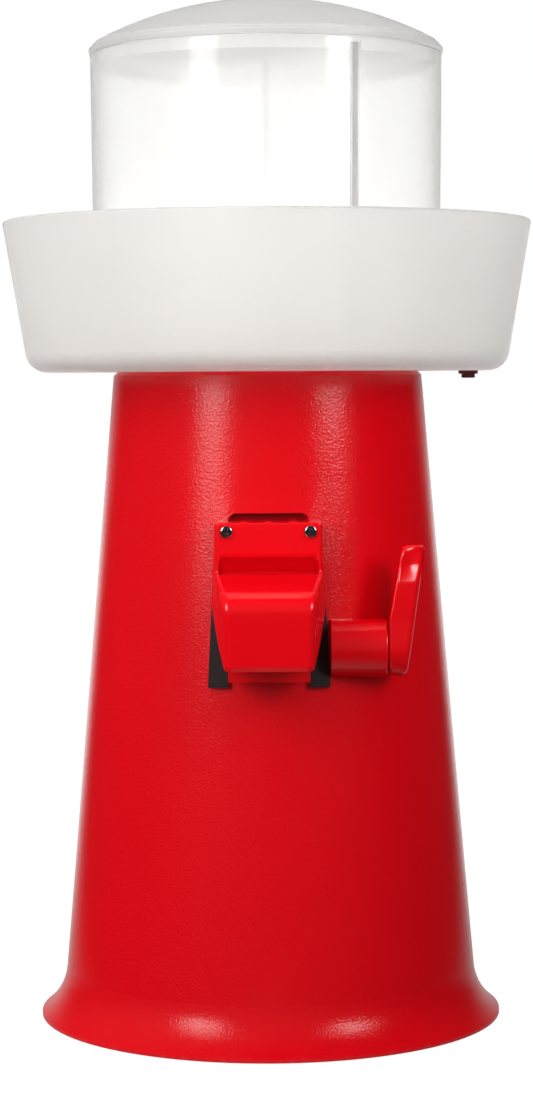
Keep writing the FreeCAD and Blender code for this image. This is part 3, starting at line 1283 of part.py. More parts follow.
def lever_housing():
    """Barrel beside the tap, saddled on the stand, with a tongue inside for the microswitch."""
    barrel = rod_x(BARREL_R, BARREL_X0, BARREL_X1, LEVER_Y, LEVER_Z)
    rim = [e for e in barrel.Edges if e.BoundBox.XMin > BARREL_X1 - 1]
    barrel = barrel.makeFillet(BARREL_ROUND, rim)
    web = block(BARREL_X0, BARREL_X1 - BARREL_ROUND, LEVER_Y, 0, LEVER_Z - BARREL_R, LEVER_Z + BARREL_R)
    cavity_r = BARREL_R - BARREL_WALL
    cavity = rod_x(cavity_r, BARREL_X0 + BARREL_END, BARREL_X1 - BARREL_END, LEVER_Y, LEVER_Z)
    x0 = tongue_x()
    x1 = x0 + TONGUE_THICKNESS
    pocket = block(HOUSING_HOLE_X0, x0, LEVER_Y, 0, LEVER_Z - HOUSING_HOLE_HALF, LEVER_Z + HOUSING_HOLE_HALF)
    root_low = LEVER_Z - TONGUE_ROOT_HALF
    root_high = LEVER_Z + TONGUE_ROOT_HALF
    root = block(x0, x1, TONGUE_ROOT_Y, LEVER_Y + BARREL_R, root_low, root_high)
    tongue = block(x0, x1, TONGUE_ROOT_Y, TONGUE_END_Y, LEVER_Z - TONGUE_HALF, LEVER_Z + TONGUE_HALF)
    bosses = []
    for z in housing_screw_heights():
        boss_r = HOUSING_SCREW_R + HOUSING_BOSS_WALL
        bosses.append(rod_y(boss_r, HOUSING_BOSS_FRONT_Y, HOUSING_SEAT_Y, HOUSING_SCREW_X, z))
    around = rod_x(BARREL_R, BARREL_X0, BARREL_X1, LEVER_Y, LEVER_Z)
    solid = less(joined([barrel, web]), [cavity, pocket])
    solid = joined([solid, root] + [boss.common(around) for boss in bosses]).cut(stand_envelope())
    bush_r = LEVER_BUSH_R + BUSH_BOSS_WALL
    bush_boss = rod_x(bush_r, BARREL_X0, BARREL_X0 + BARREL_END, LEVER_Y, LEVER_Z)
    solid = joined([solid, tongue, bush_boss])
    holes = []
    for x0, x1 in ((BARREL_X0, BARREL_X0 + BARREL_END), (BARREL_X1 - BARREL_END, BARREL_X1)):
        holes.append(rod_x(LEVER_BUSH_R, x0, x1, LEVER_Y, LEVER_Z))
    for z in housing_screw_heights():
        holes.append(rod_y(HOUSING_SCREW_R, HOUSING_SEAT_Y - HOUSING_SCREW_LENGTH, 0, HOUSING_SCREW_X, z))
    for y, z in switch_screw_places():
        holes.append(rod_x(SWITCH_SCREW_R, tongue_x(), tongue_x() + TONGUE_THICKNESS, y, z))
    return less(solid, holes)


def housing_screws():
    """Screws from inside the stand into the lever housing."""
    screws = []
    for z in housing_screw_heights():
        seat = HOUSING_SEAT_Y
        head = rod_y(HOUSING_SCREW_HEAD_R, seat, seat + HOUSING_SCREW_HEAD, HOUSING_SCREW_X, z)
        shank = rod_y(HOUSING_SCREW_R, seat - HOUSING_SCREW_LENGTH + 1, seat, HOUSING_SCREW_X, z)
        screws.append(head.fuse(shank))
    return Part.makeCompound(screws)


def lever_bushes():
    """Bushes of the lever shaft in the two ends of the barrel."""
    bushes = []
    for x0 in (BARREL_X0, BARREL_X1 - BARREL_END):
        bush = rod_x(LEVER_BUSH_R, x0, x0 + BARREL_END, LEVER_Y, LEVER_Z)
        bushes.append(bush.cut(rod_x(LEVER_SHAFT_R + SHAFT_FIT, -BIG, BIG, LEVER_Y, LEVER_Z)))
    return Part.makeCompound(bushes)


def round_ended(y0, z0, r0, y1, z1, r1, x0, x1):
    """Bar along X whose outline is two circles and their outer tangents."""
    across = math.hypot(y1 - y0, z1 - z0)
    along = math.atan2(z1 - z0, y1 - y0)
    spread = math.acos((r0 - r1) / across)
    ends = []
    for y, z, r, turn in ((y0, z0, r0, math.pi), (y1, z1, r1, 0.0)):
        points = [(y + r * math.cos(along + a), z + r * math.sin(along + a)) for a in (spread, turn, -spread)]
        ends.append([V(x0, py, pz) for py, pz in points])
    low, high = ends
    outline = Part.Wire([
        Part.Arc(low[0], low[1], low[2]).toShape(),
        Part.LineSegment(low[2], high[2]).toShape(),
        Part.Arc(high[2], high[1], high[0]).toShape(),
        Part.LineSegment(high[0], low[0]).toShape(),
    ])
    return Part.Face(outline).extrude(V(x1 - x0, 0, 0))


def lever():
    """Hub and thumb bar that leans outward, with a hollow for the thumb and rounded edges."""
    inner_x = BARREL_X1 + LEVER_GAP
    low = LEVER_Z - HUB_R
    tip_y = (LEVER_BAR_FRONT_Y + LEVER_BAR_BACK_Y) / 2
    tip_z = LEVER_TOP_Z - LEVER_TIP_R
    side = round_ended(LEVER_Y, LEVER_Z, HUB_R, tip_y, tip_z, LEVER_TIP_R, inner_x, LEVER_TOP_X1)
    front = prism_y([
        (inner_x, low), (inner_x, LEVER_BEND_Z), (LEVER_TOP_X0, LEVER_TOP_Z),
        (LEVER_TOP_X1, LEVER_TOP_Z), (LEVER_LOW_X, low),
    ], -BIG, BIG)
    scoop = rod_x(THUMB_R, inner_x, LEVER_TOP_X1, LEVER_BAR_FRONT_Y - THUMB_R + THUMB_DEPTH, THUMB_Z)
    body = side.common(front).cut(scoop)
    body = body.makeFillet(LEVER_EDGE_R, [e for e in body.Edges if e.BoundBox.XMax > inner_x + 1])
    return body.cut(rod_x(LEVER_SHAFT_R, inner_x, LEVER_SHAFT_END_X, LEVER_Y, LEVER_Z))


def lever_shaft():
    """Steel shaft that the lever, the spring and the cam share."""
    return rod_x(LEVER_SHAFT_R, BARREL_X0 + SHAFT_INSET, LEVER_SHAFT_END_X, LEVER_Y, LEVER_Z)


def lever_return_spring():
    """Torsion spring round the lever shaft."""
    height = SPRING_PITCH * SPRING_TURNS
    coil = Part.makeHelix(SPRING_PITCH, height, SPRING_COIL_R)
    start = V(SPRING_COIL_R, 0, 0)
    end = V(SPRING_COIL_R, 0, height)
    path = Part.Wire([
        Part.LineSegment(start - V(0, SPRING_LEG, 0), start).toShape(), *coil.Edges,
        Part.LineSegment(end, end + V(0, SPRING_LEG, 0)).toShape(),
    ])
    ring = Part.Wire(Part.makeCircle(SPRING_WIRE_R, start - V(0, SPRING_LEG, 0), V(0, 1, 0)))
    spring = path.makePipeShell([ring], True, True)
    spring = spring.rotated(V(0, 0, 0), Y_AXIS, 90)
    return spring.translated(V(SPRING_X0, LEVER_Y, LEVER_Z))


def cam_contact():
    """Distance from the lever axis to the plunger tip at rest."""
    return CAM_R + PLUNGER_GAP


def switch_cam():
    """Cam on the lever shaft whose rise pushes the plunger in as the lever comes forward."""
    x0 = CAM_X - CAM_WIDTH / 2
    points = []
    for k in range(CAM_STEPS + 1):
        share = k / CAM_STEPS
        angle = -math.radians(LEVER_THROW) * share
        r = CAM_R + CAM_LIFT * share
        points.append((LEVER_Y + r * math.cos(angle), LEVER_Z + r * math.sin(angle)))
    points.append((LEVER_Y, LEVER_Z))
    rise = prism_x(points, x0, x0 + CAM_WIDTH)
    disc = rod_x(CAM_R, x0, x0 + CAM_WIDTH, LEVER_Y, LEVER_Z)
    return joined([disc, rise]).cut(rod_x(LEVER_SHAFT_R, x0, x0 + CAM_WIDTH, LEVER_Y, LEVER_Z))


def switch_front_y():
    """Front face of the microswitch body."""
    return LEVER_Y + cam_contact() + PLUNGER_STICK_OUT


def switch_screw_places():
    """Places (y, z) of the two screws of the microswitch."""
    y = switch_front_y() + SWITCH_HOLE_DEPTH
    return [(y, LEVER_Z - SWITCH_HOLE_OFFSET), (y, LEVER_Z + SWITCH_HOLE_OFFSET)]


def microswitch():
    """Body of the switch with the pocket of its plunger."""
    x0 = tongue_x() - SWITCH_WIDTH
    y0 = switch_front_y()
    half = SWITCH_HEIGHT / 2
    body = block(x0, tongue_x(), y0, y0 + SWITCH_DEPTH, LEVER_Z - half, LEVER_Z + half)
    depth = PLUNGER_DEPTH + CAM_LIFT + PLUNGER_SPARE
    holes = [rod_y(PLUNGER_R + PLUNGER_FIT, y0, y0 + depth, CAM_X, LEVER_Z)]
    for y, z in switch_screw_places():
        holes.append(rod_x(SWITCH_SCREW_R, x0, tongue_x(), y, z))
    return less(body, holes)


def switch_plunger():
    """Plunger of the microswitch."""
    y0 = LEVER_Y + cam_contact()
    pin = rod_y(PLUNGER_R, y0, switch_front_y() + PLUNGER_DEPTH, CAM_X, LEVER_Z)
    return pin.makeFillet(PLUNGER_ROUND, [e for e in pin.Edges if e.BoundBox.YMax < y0 + 1])


def switch_screws():
    """Screws that hold the microswitch to the tongue."""
    x0 = tongue_x() - SWITCH_WIDTH
    screws = []
    for y, z in switch_screw_places():
        head = rod_x(SWITCH_SCREW_HEAD_R, x0 - SWITCH_SCREW_HEAD, x0, y, z)
        screws.append(head.fuse(rod_x(SWITCH_SCREW_R, x0, x0 + SWITCH_SCREW_LENGTH, y, z)))
    return Part.makeCompound(screws)


def power_inlet():
    """Low-voltage socket at the back of the stand."""
    back = INLET_SEAT_Y - INLET_BODY_LENGTH
    body = rod_y(INLET_R, back, INLET_SEAT_Y, 0, INLET_Z)
    flange = rod_y(INLET_FLANGE_R, INLET_SEAT_Y, INLET_SEAT_Y + INLET_FLANGE, 0, INLET_Z)
    mouth = INLET_SEAT_Y + INLET_FLANGE
    bore = rod_y(INLET_BORE_R, mouth - INLET_BORE_DEPTH, mouth, 0, INLET_Z)
    pin = rod_y(INLET_PIN_R, mouth - INLET_BORE_DEPTH - 1, mouth - 1, 0, INLET_Z)
    return joined([joined([body, flange]).cut(bore), pin])


def inlet_nut():
    """Nut of the power socket, inside the stand."""
    seat = INLET_SEAT_Y - INLET_PAD
    nut = hexagon(INLET_NUT_FLATS, INLET_NUT, V(0, seat - INLET_NUT, INLET_Z), Y_AXIS)
    return nut.cut(rod_y(INLET_R, seat - INLET_NUT, seat, 0, INLET_Z))


def lead(points):
    """Cable inside the stand along a hand-chosen route."""
    radii = [wide_radius(points, i) for i in range(1, len(points) - 1)]
    path = route(points, radii)
    cable = swept(path, LEAD_R)
    print("lead bend radii", [round(v, 1) for v in radii],
          "volume over section times length", round(cable.Volume / (math.pi * LEAD_R ** 2 * path.Length), 4))
    return cable


def switch_back_y():
    """Rear face of the microswitch, where its leads leave."""
    return switch_front_y() + SWITCH_DEPTH


def inlet_lead():
    """Lead from the power socket to the upper terminal of the microswitch."""
    socket_back = INLET_SEAT_Y - INLET_BODY_LENGTH
    end_z = LEVER_Z + SWITCH_TERMINAL
    return lead([
        V(0, socket_back, INLET_Z),
        V(0, socket_back - 2 * LEAD_EXIT, INLET_Z),
        V(34, 40, 62),
        V(56, 10, 104),
        V(63, -12, 152),
        V(58, -34, 196),
        V(CAM_X, switch_back_y() + LEAD_EXIT, end_z),
        V(CAM_X, switch_back_y(), end_z),
    ])


def motor_lead():
    """Lead from the lower terminal of the microswitch to the motor."""
    start_z = LEVER_Z - SWITCH_TERMINAL
    motor_x = -(FRAME_INNER_HALF + FRAME_PLATE + GEARBOX_LENGTH + MOTOR_LENGTH / 2)
    return lead([
        V(CAM_X, switch_back_y(), start_z),
        V(CAM_X, switch_back_y() + 1.5 * LEAD_EXIT, start_z),
        V(22, -34, 202),
        V(-10, -22, 194),
        V(-40, -16, 198),
        V(motor_x, PUMP_Y, 222),
        V(motor_x, PUMP_Y, PUMP_Z - MOTOR_R),
    ])


def build_all():
    """Write every piece to its file."""
    os.makedirs("parts", exist_ok=True)
    pieces = [
        tower_shell, base_plate, rubber_feet, base_screws,
        tap_chassis, chassis_screws, tap_hood, hood_screws, nozzle_block, nozzle_block_screws,
        lever_housing, housing_screws, lever_bushes, lever, lever_shaft, lever_return_spring, switch_cam,
        microswitch, switch_plunger, switch_screws,
        pump_frame, pump_bushes, pump_rotor, pump_shaft, roller_axles, gearbox, motor, motor_screws,
        outlet_couplers, coupler_nuts, power_inlet, inlet_nut, inlet_lead, motor_lead,
        ice_tub, tub_seals, drain_plug, reservoir, spigot_seals, lid,
    ]
    shapes = {piece.__name__: piece() for piece in pieces}
    for i in range(ROLLER_COUNT):
        shapes[f"pump_roller_{i + 1}"] = pump_roller(i)
    for i, place in enumerate(("left", "centre", "right")):
        shapes[place + "_tube"] = feed_tube(i)
    for name, shape in shapes.items():
        shape.exportStep(f"parts/{name}.step")


build_all()
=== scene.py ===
"""Looks of the drink dispenser: red stand, frosted ice tub, clear three-chamber reservoir, lever tap.

Metres, +Z up and the tap towards -Y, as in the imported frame. Each class makes the surfaces of one
sub-assembly with numpy and gives them their finishes. A node whose shape is right keeps its mesh.
"""

import json
import logging
import math
from dataclasses import dataclass
from enum import Enum

import bmesh
import bpy
import numpy as np
from mathutils import Euler, Matrix, Vector
from mathutils.geometry import tessellate_polygon


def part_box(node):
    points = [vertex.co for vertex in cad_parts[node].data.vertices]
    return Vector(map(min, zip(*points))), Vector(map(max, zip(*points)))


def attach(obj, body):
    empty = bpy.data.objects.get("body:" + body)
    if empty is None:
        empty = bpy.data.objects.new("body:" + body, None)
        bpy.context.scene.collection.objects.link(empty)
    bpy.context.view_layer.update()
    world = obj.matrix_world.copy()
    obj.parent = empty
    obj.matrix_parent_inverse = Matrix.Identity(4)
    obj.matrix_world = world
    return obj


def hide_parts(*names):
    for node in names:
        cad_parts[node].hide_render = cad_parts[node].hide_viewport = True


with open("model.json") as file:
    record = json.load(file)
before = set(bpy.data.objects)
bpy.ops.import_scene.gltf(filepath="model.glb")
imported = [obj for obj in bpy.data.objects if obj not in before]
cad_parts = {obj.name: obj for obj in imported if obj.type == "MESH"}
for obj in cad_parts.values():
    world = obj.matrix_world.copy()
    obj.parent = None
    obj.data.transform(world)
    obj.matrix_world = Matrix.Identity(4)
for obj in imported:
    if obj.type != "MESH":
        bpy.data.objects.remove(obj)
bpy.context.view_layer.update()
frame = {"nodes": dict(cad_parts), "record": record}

log = logging.getLogger("dispenser")

MM = 0.001
MERGE = 1e-6


class Slot(Enum):
    """Material slots of the record."""

    GRAINED_RED = "red_grained_plastic"
    GLOSS_RED = "red_gloss_plastic"
    BLACK = "black_plastic"
    GREY = "grey_plastic"
    WHITE = "white_plastic"
    ACETAL = "white_acetal"
    FROSTED = "frosted_plastic"
    CLEAR = "clear_plastic"
    LID = "lid_plastic"
    STEEL = "steel"
    BRIGHT_STEEL = "bright_steel"
    BRONZE = "bronze"
    BLACK_RUBBER = "black_rubber"
    RED_RUBBER = "dark_red_rubber"
    SILICONE = "clear_silicone"


class Facing(Enum):
    """Where the own Z axis of a turned piece points."""

    UP = ((1, 0, 0), (0, 1, 0), (0, 0, 1))
    DOWN = ((1, 0, 0), (0, -1, 0), (0, 0, -1))
    FRONT = ((1, 0, 0), (0, 0, -1), (0, 1, 0))
    REAR = ((-1, 0, 0), (0, 0, 1), (0, 1, 0))


def shown_colour(red: int, green: int, blue: int) -> tuple[float, float, float]:
    """Linear colour of a colour given as it shows, from 0 to 255.

    Below a small limit the curve is a straight line, and above it a power of 2.4.

    Args:
        red: Red part.
        green: Green part.
        blue: Blue part.

    Returns:
        The three linear parts.
    """
    part = np.array([red, green, blue]) / 255
    linear = np.where(part <= 0.04045, part / 12.92, ((part + 0.055) / 1.055) ** 2.4)
    return tuple(float(value) for value in linear)


def added(name: str, data: bpy.types.ID) -> bpy.types.Object:
    """New object for a mesh, a camera or a lamp, in the scene."""
    made = bpy.data.objects.new(name, data)
    bpy.context.scene.collection.objects.link(made)
    return made


# Shapes


def unit(vectors: np.ndarray) -> np.ndarray:
    """Vectors along the last axis, each divided by its length."""
    length = np.linalg.norm(vectors, axis=-1, keepdims=True)
    return vectors / np.maximum(length, 1e-12)


def smooth(value: np.ndarray) -> np.ndarray:
    """Rise from 0 to 1 with level ends: 3 t squared less 2 t cubed, of the value held in 0 to 1."""
    held = np.clip(value, 0, 1)
    return held * held * (3 - 2 * held)


RUN_SHARES = np.array([0.0, 0.03, 0.2, 0.5, 0.8, 0.97])


def rounded(corners: list, radii: list, steps: int = 6, shares: np.ndarray = RUN_SHARES) -> np.ndarray:
    """Open outline whose inner corners are arcs.

    An arc of radius r starts and ends r over the tangent of half the corner's angle from the
    corner. Its points are sums of the two end radii, weighted by sines of the angles that are
    left and done, about a centre on the corner's bisector.

    Args:
        corners: Points of the outline, the two ends with them.
        radii: Radius of each inner corner.
        steps: Steps in each arc.
        shares: Places of the points along each straight run.

    Returns:
        Points along the outline, as many for each corner and run.
    """
    points = np.asarray(corners, float)
    radius = np.asarray(radii, float)[:, None]
    middle = points[1:-1]
    before, after = unit(points[:-2] - middle), unit(points[2:] - middle)
    half = np.arccos(np.clip((before * after).sum(1, keepdims=True), -1, 1)) / 2
    reach = radius / np.tan(half)
    start, end = middle + before * reach, middle + after * reach
    centre = middle + unit(before + after) * radius / np.sin(half)
    sweep = np.maximum(np.pi - 2 * half, 1e-6)[:, None]
    share = np.linspace(0, 1, steps + 1)[None, :-1, None]
    left, done = np.sin((1 - share) * sweep), np.sin(share * sweep)
    spokes = left * (start - centre)[:, None] + done * (end - centre)[:, None]
    arcs = centre[:, None] + spokes / np.sin(sweep)
    origin = np.vstack([points[:1], end])
    target = np.vstack([start, points[-1:]])
    runs = origin[:, None] + shares[None, :, None] * (target - origin)[:, None]
    joined = [part for pair in zip(runs[:-1], arcs) for part in pair]
    return np.concatenate(joined + [runs[-1], points[-1:]])


def arc_points(centre: tuple, radius: float, start: float, end: float, steps: int) -> np.ndarray:
    """Points at one radius from a centre, evenly from one angle to another."""
    angle = np.linspace(start, end, steps + 1)
    return np.stack([centre[0] + radius * np.cos(angle), centre[1] + radius * np.sin(angle)], -1)


def turned(profile: np.ndarray, angles: np.ndarray | None = None) -> np.ndarray:
    """Profile of (r, z) points carried round the Z axis.

    A point of the grid is (r cos a, r sin a, z), with a row for each profile point.

    Args:
        profile: Points (r, z).
        angles: Angles of the columns, or None for even ones.

    Returns:
        Grid of points, rows by columns by 3.
    """
    angle = np.linspace(0, 2 * np.pi, 96, endpoint=False) if angles is None else angles
    r, z = profile[:, :1], profile[:, 1:]
    return np.stack([r * np.cos(angle), r * np.sin(angle), z + 0 * angle], -1)


def placed(points: np.ndarray, origin: tuple, facing: Facing = Facing.UP) -> np.ndarray:
    """Points turned to a facing and moved to an origin."""
    return points @ np.array(facing.value, float).T + np.array(origin, float)


class Surface:
    """Grids and filled outlines that become one closed mesh."""

    def __init__(self, name: str) -> None:
        """Start an empty surface with the name of its piece."""
        self.name = name
        self.points: list[np.ndarray] = []
        self.faces: list[list[int]] = []
        self.count = 0

    def grid(self, points: np.ndarray, wrap: bool = False) -> None:
        """Add the quads between neighbours in a grid of points.

        Args:
            points: Rows by columns by 3.
            wrap: Join the last column to the first.
        """
        rows, columns = points.shape[:2]
        start = np.arange(rows - 1)[:, None] * columns
        column = np.arange(columns if wrap else columns - 1)[None]
        following = (column + 1) % columns
        corners = [start + column, start + following, start + columns + following, start + columns + column]
        quads = np.stack(corners, -1).reshape(-1, 4) + self.count
        self._take(points.reshape(-1, 3), quads.tolist())

    def turn(self, profile: np.ndarray, origin: tuple, facing: Facing = Facing.UP) -> None:
        """Add a profile of (r, z) points carried round an axis through the origin."""
        self.grid(placed(turned(profile), origin, facing), wrap=True)

    def fill(self, *loops: np.ndarray) -> None:
        """Fill a flat outline, less the holes that the other loops give."""
        clean = [loop[np.linalg.norm(loop - np.roll(loop, 1, 0), axis=1) > MERGE] for loop in loops]
        triangles = tessellate_polygon([[Vector(point) for point in loop] for loop in clean])
        self._take(np.concatenate(clean), [[corner + self.count for corner in t] for t in triangles])

    def _take(self, points: np.ndarray, faces: list) -> None:
        """Keep points and the faces between them."""
        self.points.append(points)
        self.faces.extend(faces)
        self.count += len(points)

    def piece(self, body: str, slot: Slot, *nodes: str, sharp: float = 35.0) -> bpy.types.Object:
        """Close the seams, turn the faces outward, and put the piece on its body.

        Args:
            body: CAD body that the piece rides on.
            slot: Slot whose finish it takes.
            nodes: CAD nodes that it stands for.
            sharp: Edges that turn more than this many degrees stay crisp.

        Returns:
            The finished object, at the origin.
        """
        mesh = bpy.data.meshes.new(self.name)
        mesh.from_pydata(np.concatenate(self.points).tolist(), [], self.faces)
        work = bmesh.new()
        work.from_mesh(mesh)
        bmesh.ops.remove_doubles(work, verts=work.verts, dist=MERGE)
        bmesh.ops.dissolve_degenerate(work, edges=work.edges, dist=MERGE)
        bmesh.ops.recalc_face_normals(work, faces=work.faces)
        loose = sum(not edge.is_manifold for edge in work.edges)
        work.to_mesh(mesh)
        work.free()
        mesh.shade_smooth()
        mesh.set_sharp_from_angle(angle=math.radians(sharp))
        made = added(self.name, mesh)
        mesh.materials.append(FINISHES[slot].material())
        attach(made, body)
        if nodes:
            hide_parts(*nodes)
        log.info("%s on %s: %d faces, %d open edges", self.name, body, len(mesh.polygons), loose)
        return made


def screw(surface: Surface, origin: tuple, facing: Facing, head: tuple, shank: tuple) -> None:
    """Add a pan-head screw with a cross recess.

    The crown is a square grid (u, v) pressed onto a disc: x = u sqrt(1 - v v / 2), and y alike.
    Its height falls with the square of the radius, and the recess sinks it where the point is
    within half an arm's width of either axis and within an arm's length of the middle.

    Args:
        surface: Surface that the screw joins.
        origin: Centre of the seat under the head.
        facing: Where the head points.
        head: Radius and height of the head.
        shank: Radius and length of the shank.
    """
    head_r, head_h = head
    shank_r, length = shank
    crown, wall = 0.42 * head_h, 0.58 * head_h
    arm, width, depth = 0.56 * head_r, 0.17 * head_r, 0.55 * head_h
    u, v = np.meshgrid(np.linspace(-1, 1, 57), np.linspace(-1, 1, 57), indexing="ij")
    x, y = u * np.sqrt(1 - v * v / 2), v * np.sqrt(1 - u * u / 2)
    slope = 0.09 * head_r
    ax, ay = np.abs(x) * head_r, np.abs(y) * head_r
    across = smooth((width + slope - ax) / slope) * smooth((arm + slope - ay) / slope)
    along = smooth((width + slope - ay) / slope) * smooth((arm + slope - ax) / slope)
    rim = np.clip(1 - (x * x + y * y), 0, 1)
    z = wall + crown * np.sqrt(rim) - depth * np.maximum(across, along)
    top = np.stack([x * head_r, y * head_r, z], -1)
    edge = np.concatenate([top[0, :-1], top[:-1, -1], top[-1, :0:-1], top[:0:-1, 0]])
    round_edge = unit(edge[:, :2])
    stations = [(head_r, wall), (head_r, 0), (shank_r, 0), (shank_r, -0.3 * length),
                (shank_r, -length + shank_r), (0.15 * shank_r, -length), (0, -length)]
    rows = [np.concatenate([round_edge * r, np.full((len(edge), 1), h)], 1) for r, h in stations]
    surface.grid(placed(top, origin, facing))
    surface.grid(placed(np.stack(rows), origin, facing), wrap=True)


# Finishes


class Graph:
    """Node tree with short calls that add nodes and link them."""

    def __init__(self, tree: bpy.types.NodeTree) -> None:
        """Work on a node tree."""
        self.tree = tree

    def add(self, kind: str, inputs: dict | None = None, **settings: object) -> bpy.types.Node:
        """Add a node.

        Args:
            kind: Type of the node, without the word ShaderNode.
            inputs: Value or linked socket for each input, by name or number.
            settings: Other values of the node.

        Returns:
            The node.
        """
        node = self.tree.nodes.new("ShaderNode" + kind)
        for name, value in settings.items():
            setattr(node, name, value)
        for name, value in (inputs or {}).items():
            if isinstance(value, bpy.types.NodeSocket):
                self.tree.links.new(value, node.inputs[name])
            else:
                node.inputs[name].default_value = value
        return node

    def math(self, operation: str, *values: object) -> bpy.types.NodeSocket:
        """Result of a math node on one to three values."""
        return self.add("Math", dict(enumerate(values)), operation=operation).outputs[0]

    def ramp(self, value: object, start: object, end: object, low: float = 0.0,
             high: float = 1.0) -> bpy.types.NodeSocket:
        """Smooth step from low, where the value is at the start, to high, where it is at the end."""
        given = {"Value": value, "From Min": start, "From Max": end, "To Min": low, "To Max": high}
        return self.add("MapRange", given, interpolation_type="SMOOTHSTEP").outputs[0]

    def group(self, name: str, values: dict) -> bpy.types.Node:
        """Group node of one of the shared groups, with its inputs set or linked."""
        return self.add("Group", values, node_tree=GROUPS[name])


def emptied(owner: bpy.types.Material | bpy.types.World) -> Graph:
    """Graph of a material or world, without its first nodes."""
    owner.use_nodes = True
    owner.node_tree.nodes.clear()
    return Graph(owner.node_tree)


def new_group(name: str, inputs: dict, outputs: dict) -> tuple[Graph, dict, bpy.types.Node]:
    """Start a shader node group.

    Args:
        name: Name of the group.
        inputs: Kind of socket for each input name.
        outputs: Kind of socket for each output name.

    Returns:
        The graph, its input sockets by name, and its output node.
    """
    tree = bpy.data.node_groups.new(name, "ShaderNodeTree")
    for side, sockets in (("INPUT", inputs), ("OUTPUT", outputs)):
        for label, kind in sockets.items():
            tree.interface.new_socket(label, in_out=side, socket_type="NodeSocket" + kind)
    graph = Graph(tree)
    entry = tree.nodes.new("NodeGroupInput")
    return graph, {label: entry.outputs[label] for label in inputs}, tree.nodes.new("NodeGroupOutput")


def grain_group() -> bpy.types.NodeTree:
    """Spark-eroded mould grain: soft cells and finer noise, as a bumped normal."""
    graph, given, out = new_group(
        "mould_grain", {"Vector": "Vector", "Grains per Metre": "Float", "Depth": "Float"},
        {"Normal": "Vector"})
    cells = graph.add("TexVoronoi", {"Vector": given["Vector"], "Scale": given["Grains per Metre"],
                                     "Smoothness": 0.6}, feature="SMOOTH_F1")
    fine = graph.add("TexNoise", {"Vector": given["Vector"],
                                  "Scale": graph.math("MULTIPLY", given["Grains per Metre"], 1.4),
                                  "Detail": 2.0, "Roughness": 0.6})
    height = graph.math("ADD", cells.outputs["Distance"], graph.math("MULTIPLY", fine.outputs[0], 0.9))
    bump = graph.add("Bump", {"Height": height, "Distance": given["Depth"], "Strength": 1.0})
    graph.tree.links.new(bump.outputs[0], out.inputs["Normal"])
    return graph.tree


def drift_group() -> bpy.types.NodeTree:
    """Slow change of colour and gloss over a moulding: flow marks and handling."""
    graph, given, out = new_group(
        "moulding_drift", {"Vector": "Vector", "Color": "Color", "Roughness": "Float",
                           "Colour Drift": "Float", "Gloss Drift": "Float"},
        {"Color": "Color", "Roughness": "Float"})
    slow = graph.add("TexNoise", {"Vector": given["Vector"], "Scale": 14.0, "Detail": 3.0, "Roughness": 0.5})
    smears = graph.add("TexNoise", {"Vector": given["Vector"], "Scale": 55.0, "Detail": 4.0,
                                    "Roughness": 0.62, "Distortion": 0.6})
    centred = graph.math("SUBTRACT", slow.outputs[0], 0.5)
    brighter = graph.math("MULTIPLY_ADD", centred, given["Colour Drift"], 1.0)
    tinted = graph.add("VectorMath", {0: given["Color"], "Scale": brighter}, operation="SCALE")
    marks = graph.math("SUBTRACT", smears.outputs[0], 0.5)
    rough = graph.math("MULTIPLY_ADD", marks, given["Gloss Drift"], given["Roughness"])
    graph.tree.links.new(tinted.outputs[0], out.inputs["Color"])
    graph.tree.links.new(rough, out.inputs["Roughness"])
    return graph.tree


def scuff_group() -> bpy.types.NodeTree:
    """Table scuffs that thin out with height: a mask from 0 to 1."""
    graph, given, out = new_group("low_scuffs", {"Vector": "Vector", "Reach": "Float"}, {"Mask": "Float"})
    height = graph.add("SeparateXYZ", {0: given["Vector"]}).outputs[2]
    fade = graph.ramp(height, 0.0, given["Reach"], 1.0, 0.0)
    specks = graph.add("TexNoise", {"Vector": given["Vector"], "Scale": 260.0, "Detail": 5.0,
                                    "Roughness": 0.7})
    patches = graph.ramp(specks.outputs[0], 0.5, 0.72)
    graph.tree.links.new(graph.math("MULTIPLY", fade, patches), out.inputs["Mask"])
    return graph.tree


GROUPS = {"grain": grain_group(), "drift": drift_group(), "scuffs": scuff_group()}


@dataclass(frozen=True)
class Finish:
    """What every finish has: slot, colour, gloss, how much both drift, and a grain."""

    slot: Slot
    colour: tuple[float, float, float]
    roughness: float
    colour_drift: float = 0.06
    gloss_drift: float = 0.08
    grains: float = 800.0
    depth: float = 0.01 * MM

    def material(self) -> bpy.types.Material:
        """The Blender material of this finish, made once."""
        made = bpy.data.materials.get(self.slot.value + "_finish")
        if made is None:
            made = bpy.data.materials.new(self.slot.value + "_finish")
            graph = emptied(made)
            place = graph.add("TexCoord").outputs["Object"]
            graph.add("OutputMaterial", {"Surface": self.shader(graph, place)})
        return made

    def inputs(self, graph: Graph, place: bpy.types.NodeSocket) -> dict:
        """Inputs of a Principled shader for the drifting colour and gloss and the grained normal."""
        drift = graph.group("drift", {
            "Vector": place, "Color": (*self.colour, 1.0), "Roughness": self.roughness,
            "Colour Drift": self.colour_drift, "Gloss Drift": self.gloss_drift})
        grain = graph.group("grain", {
            "Vector": place, "Grains per Metre": self.grains, "Depth": self.depth})
        return {"Base Color": drift.outputs["Color"], "Roughness": drift.outputs["Roughness"],
                "Normal": grain.outputs["Normal"]}

    def shader(self, graph: Graph, place: bpy.types.NodeSocket) -> bpy.types.NodeSocket:
        """Shader socket of the finish."""
        return graph.add("BsdfPrincipled", self.inputs(graph, place)).outputs[0]


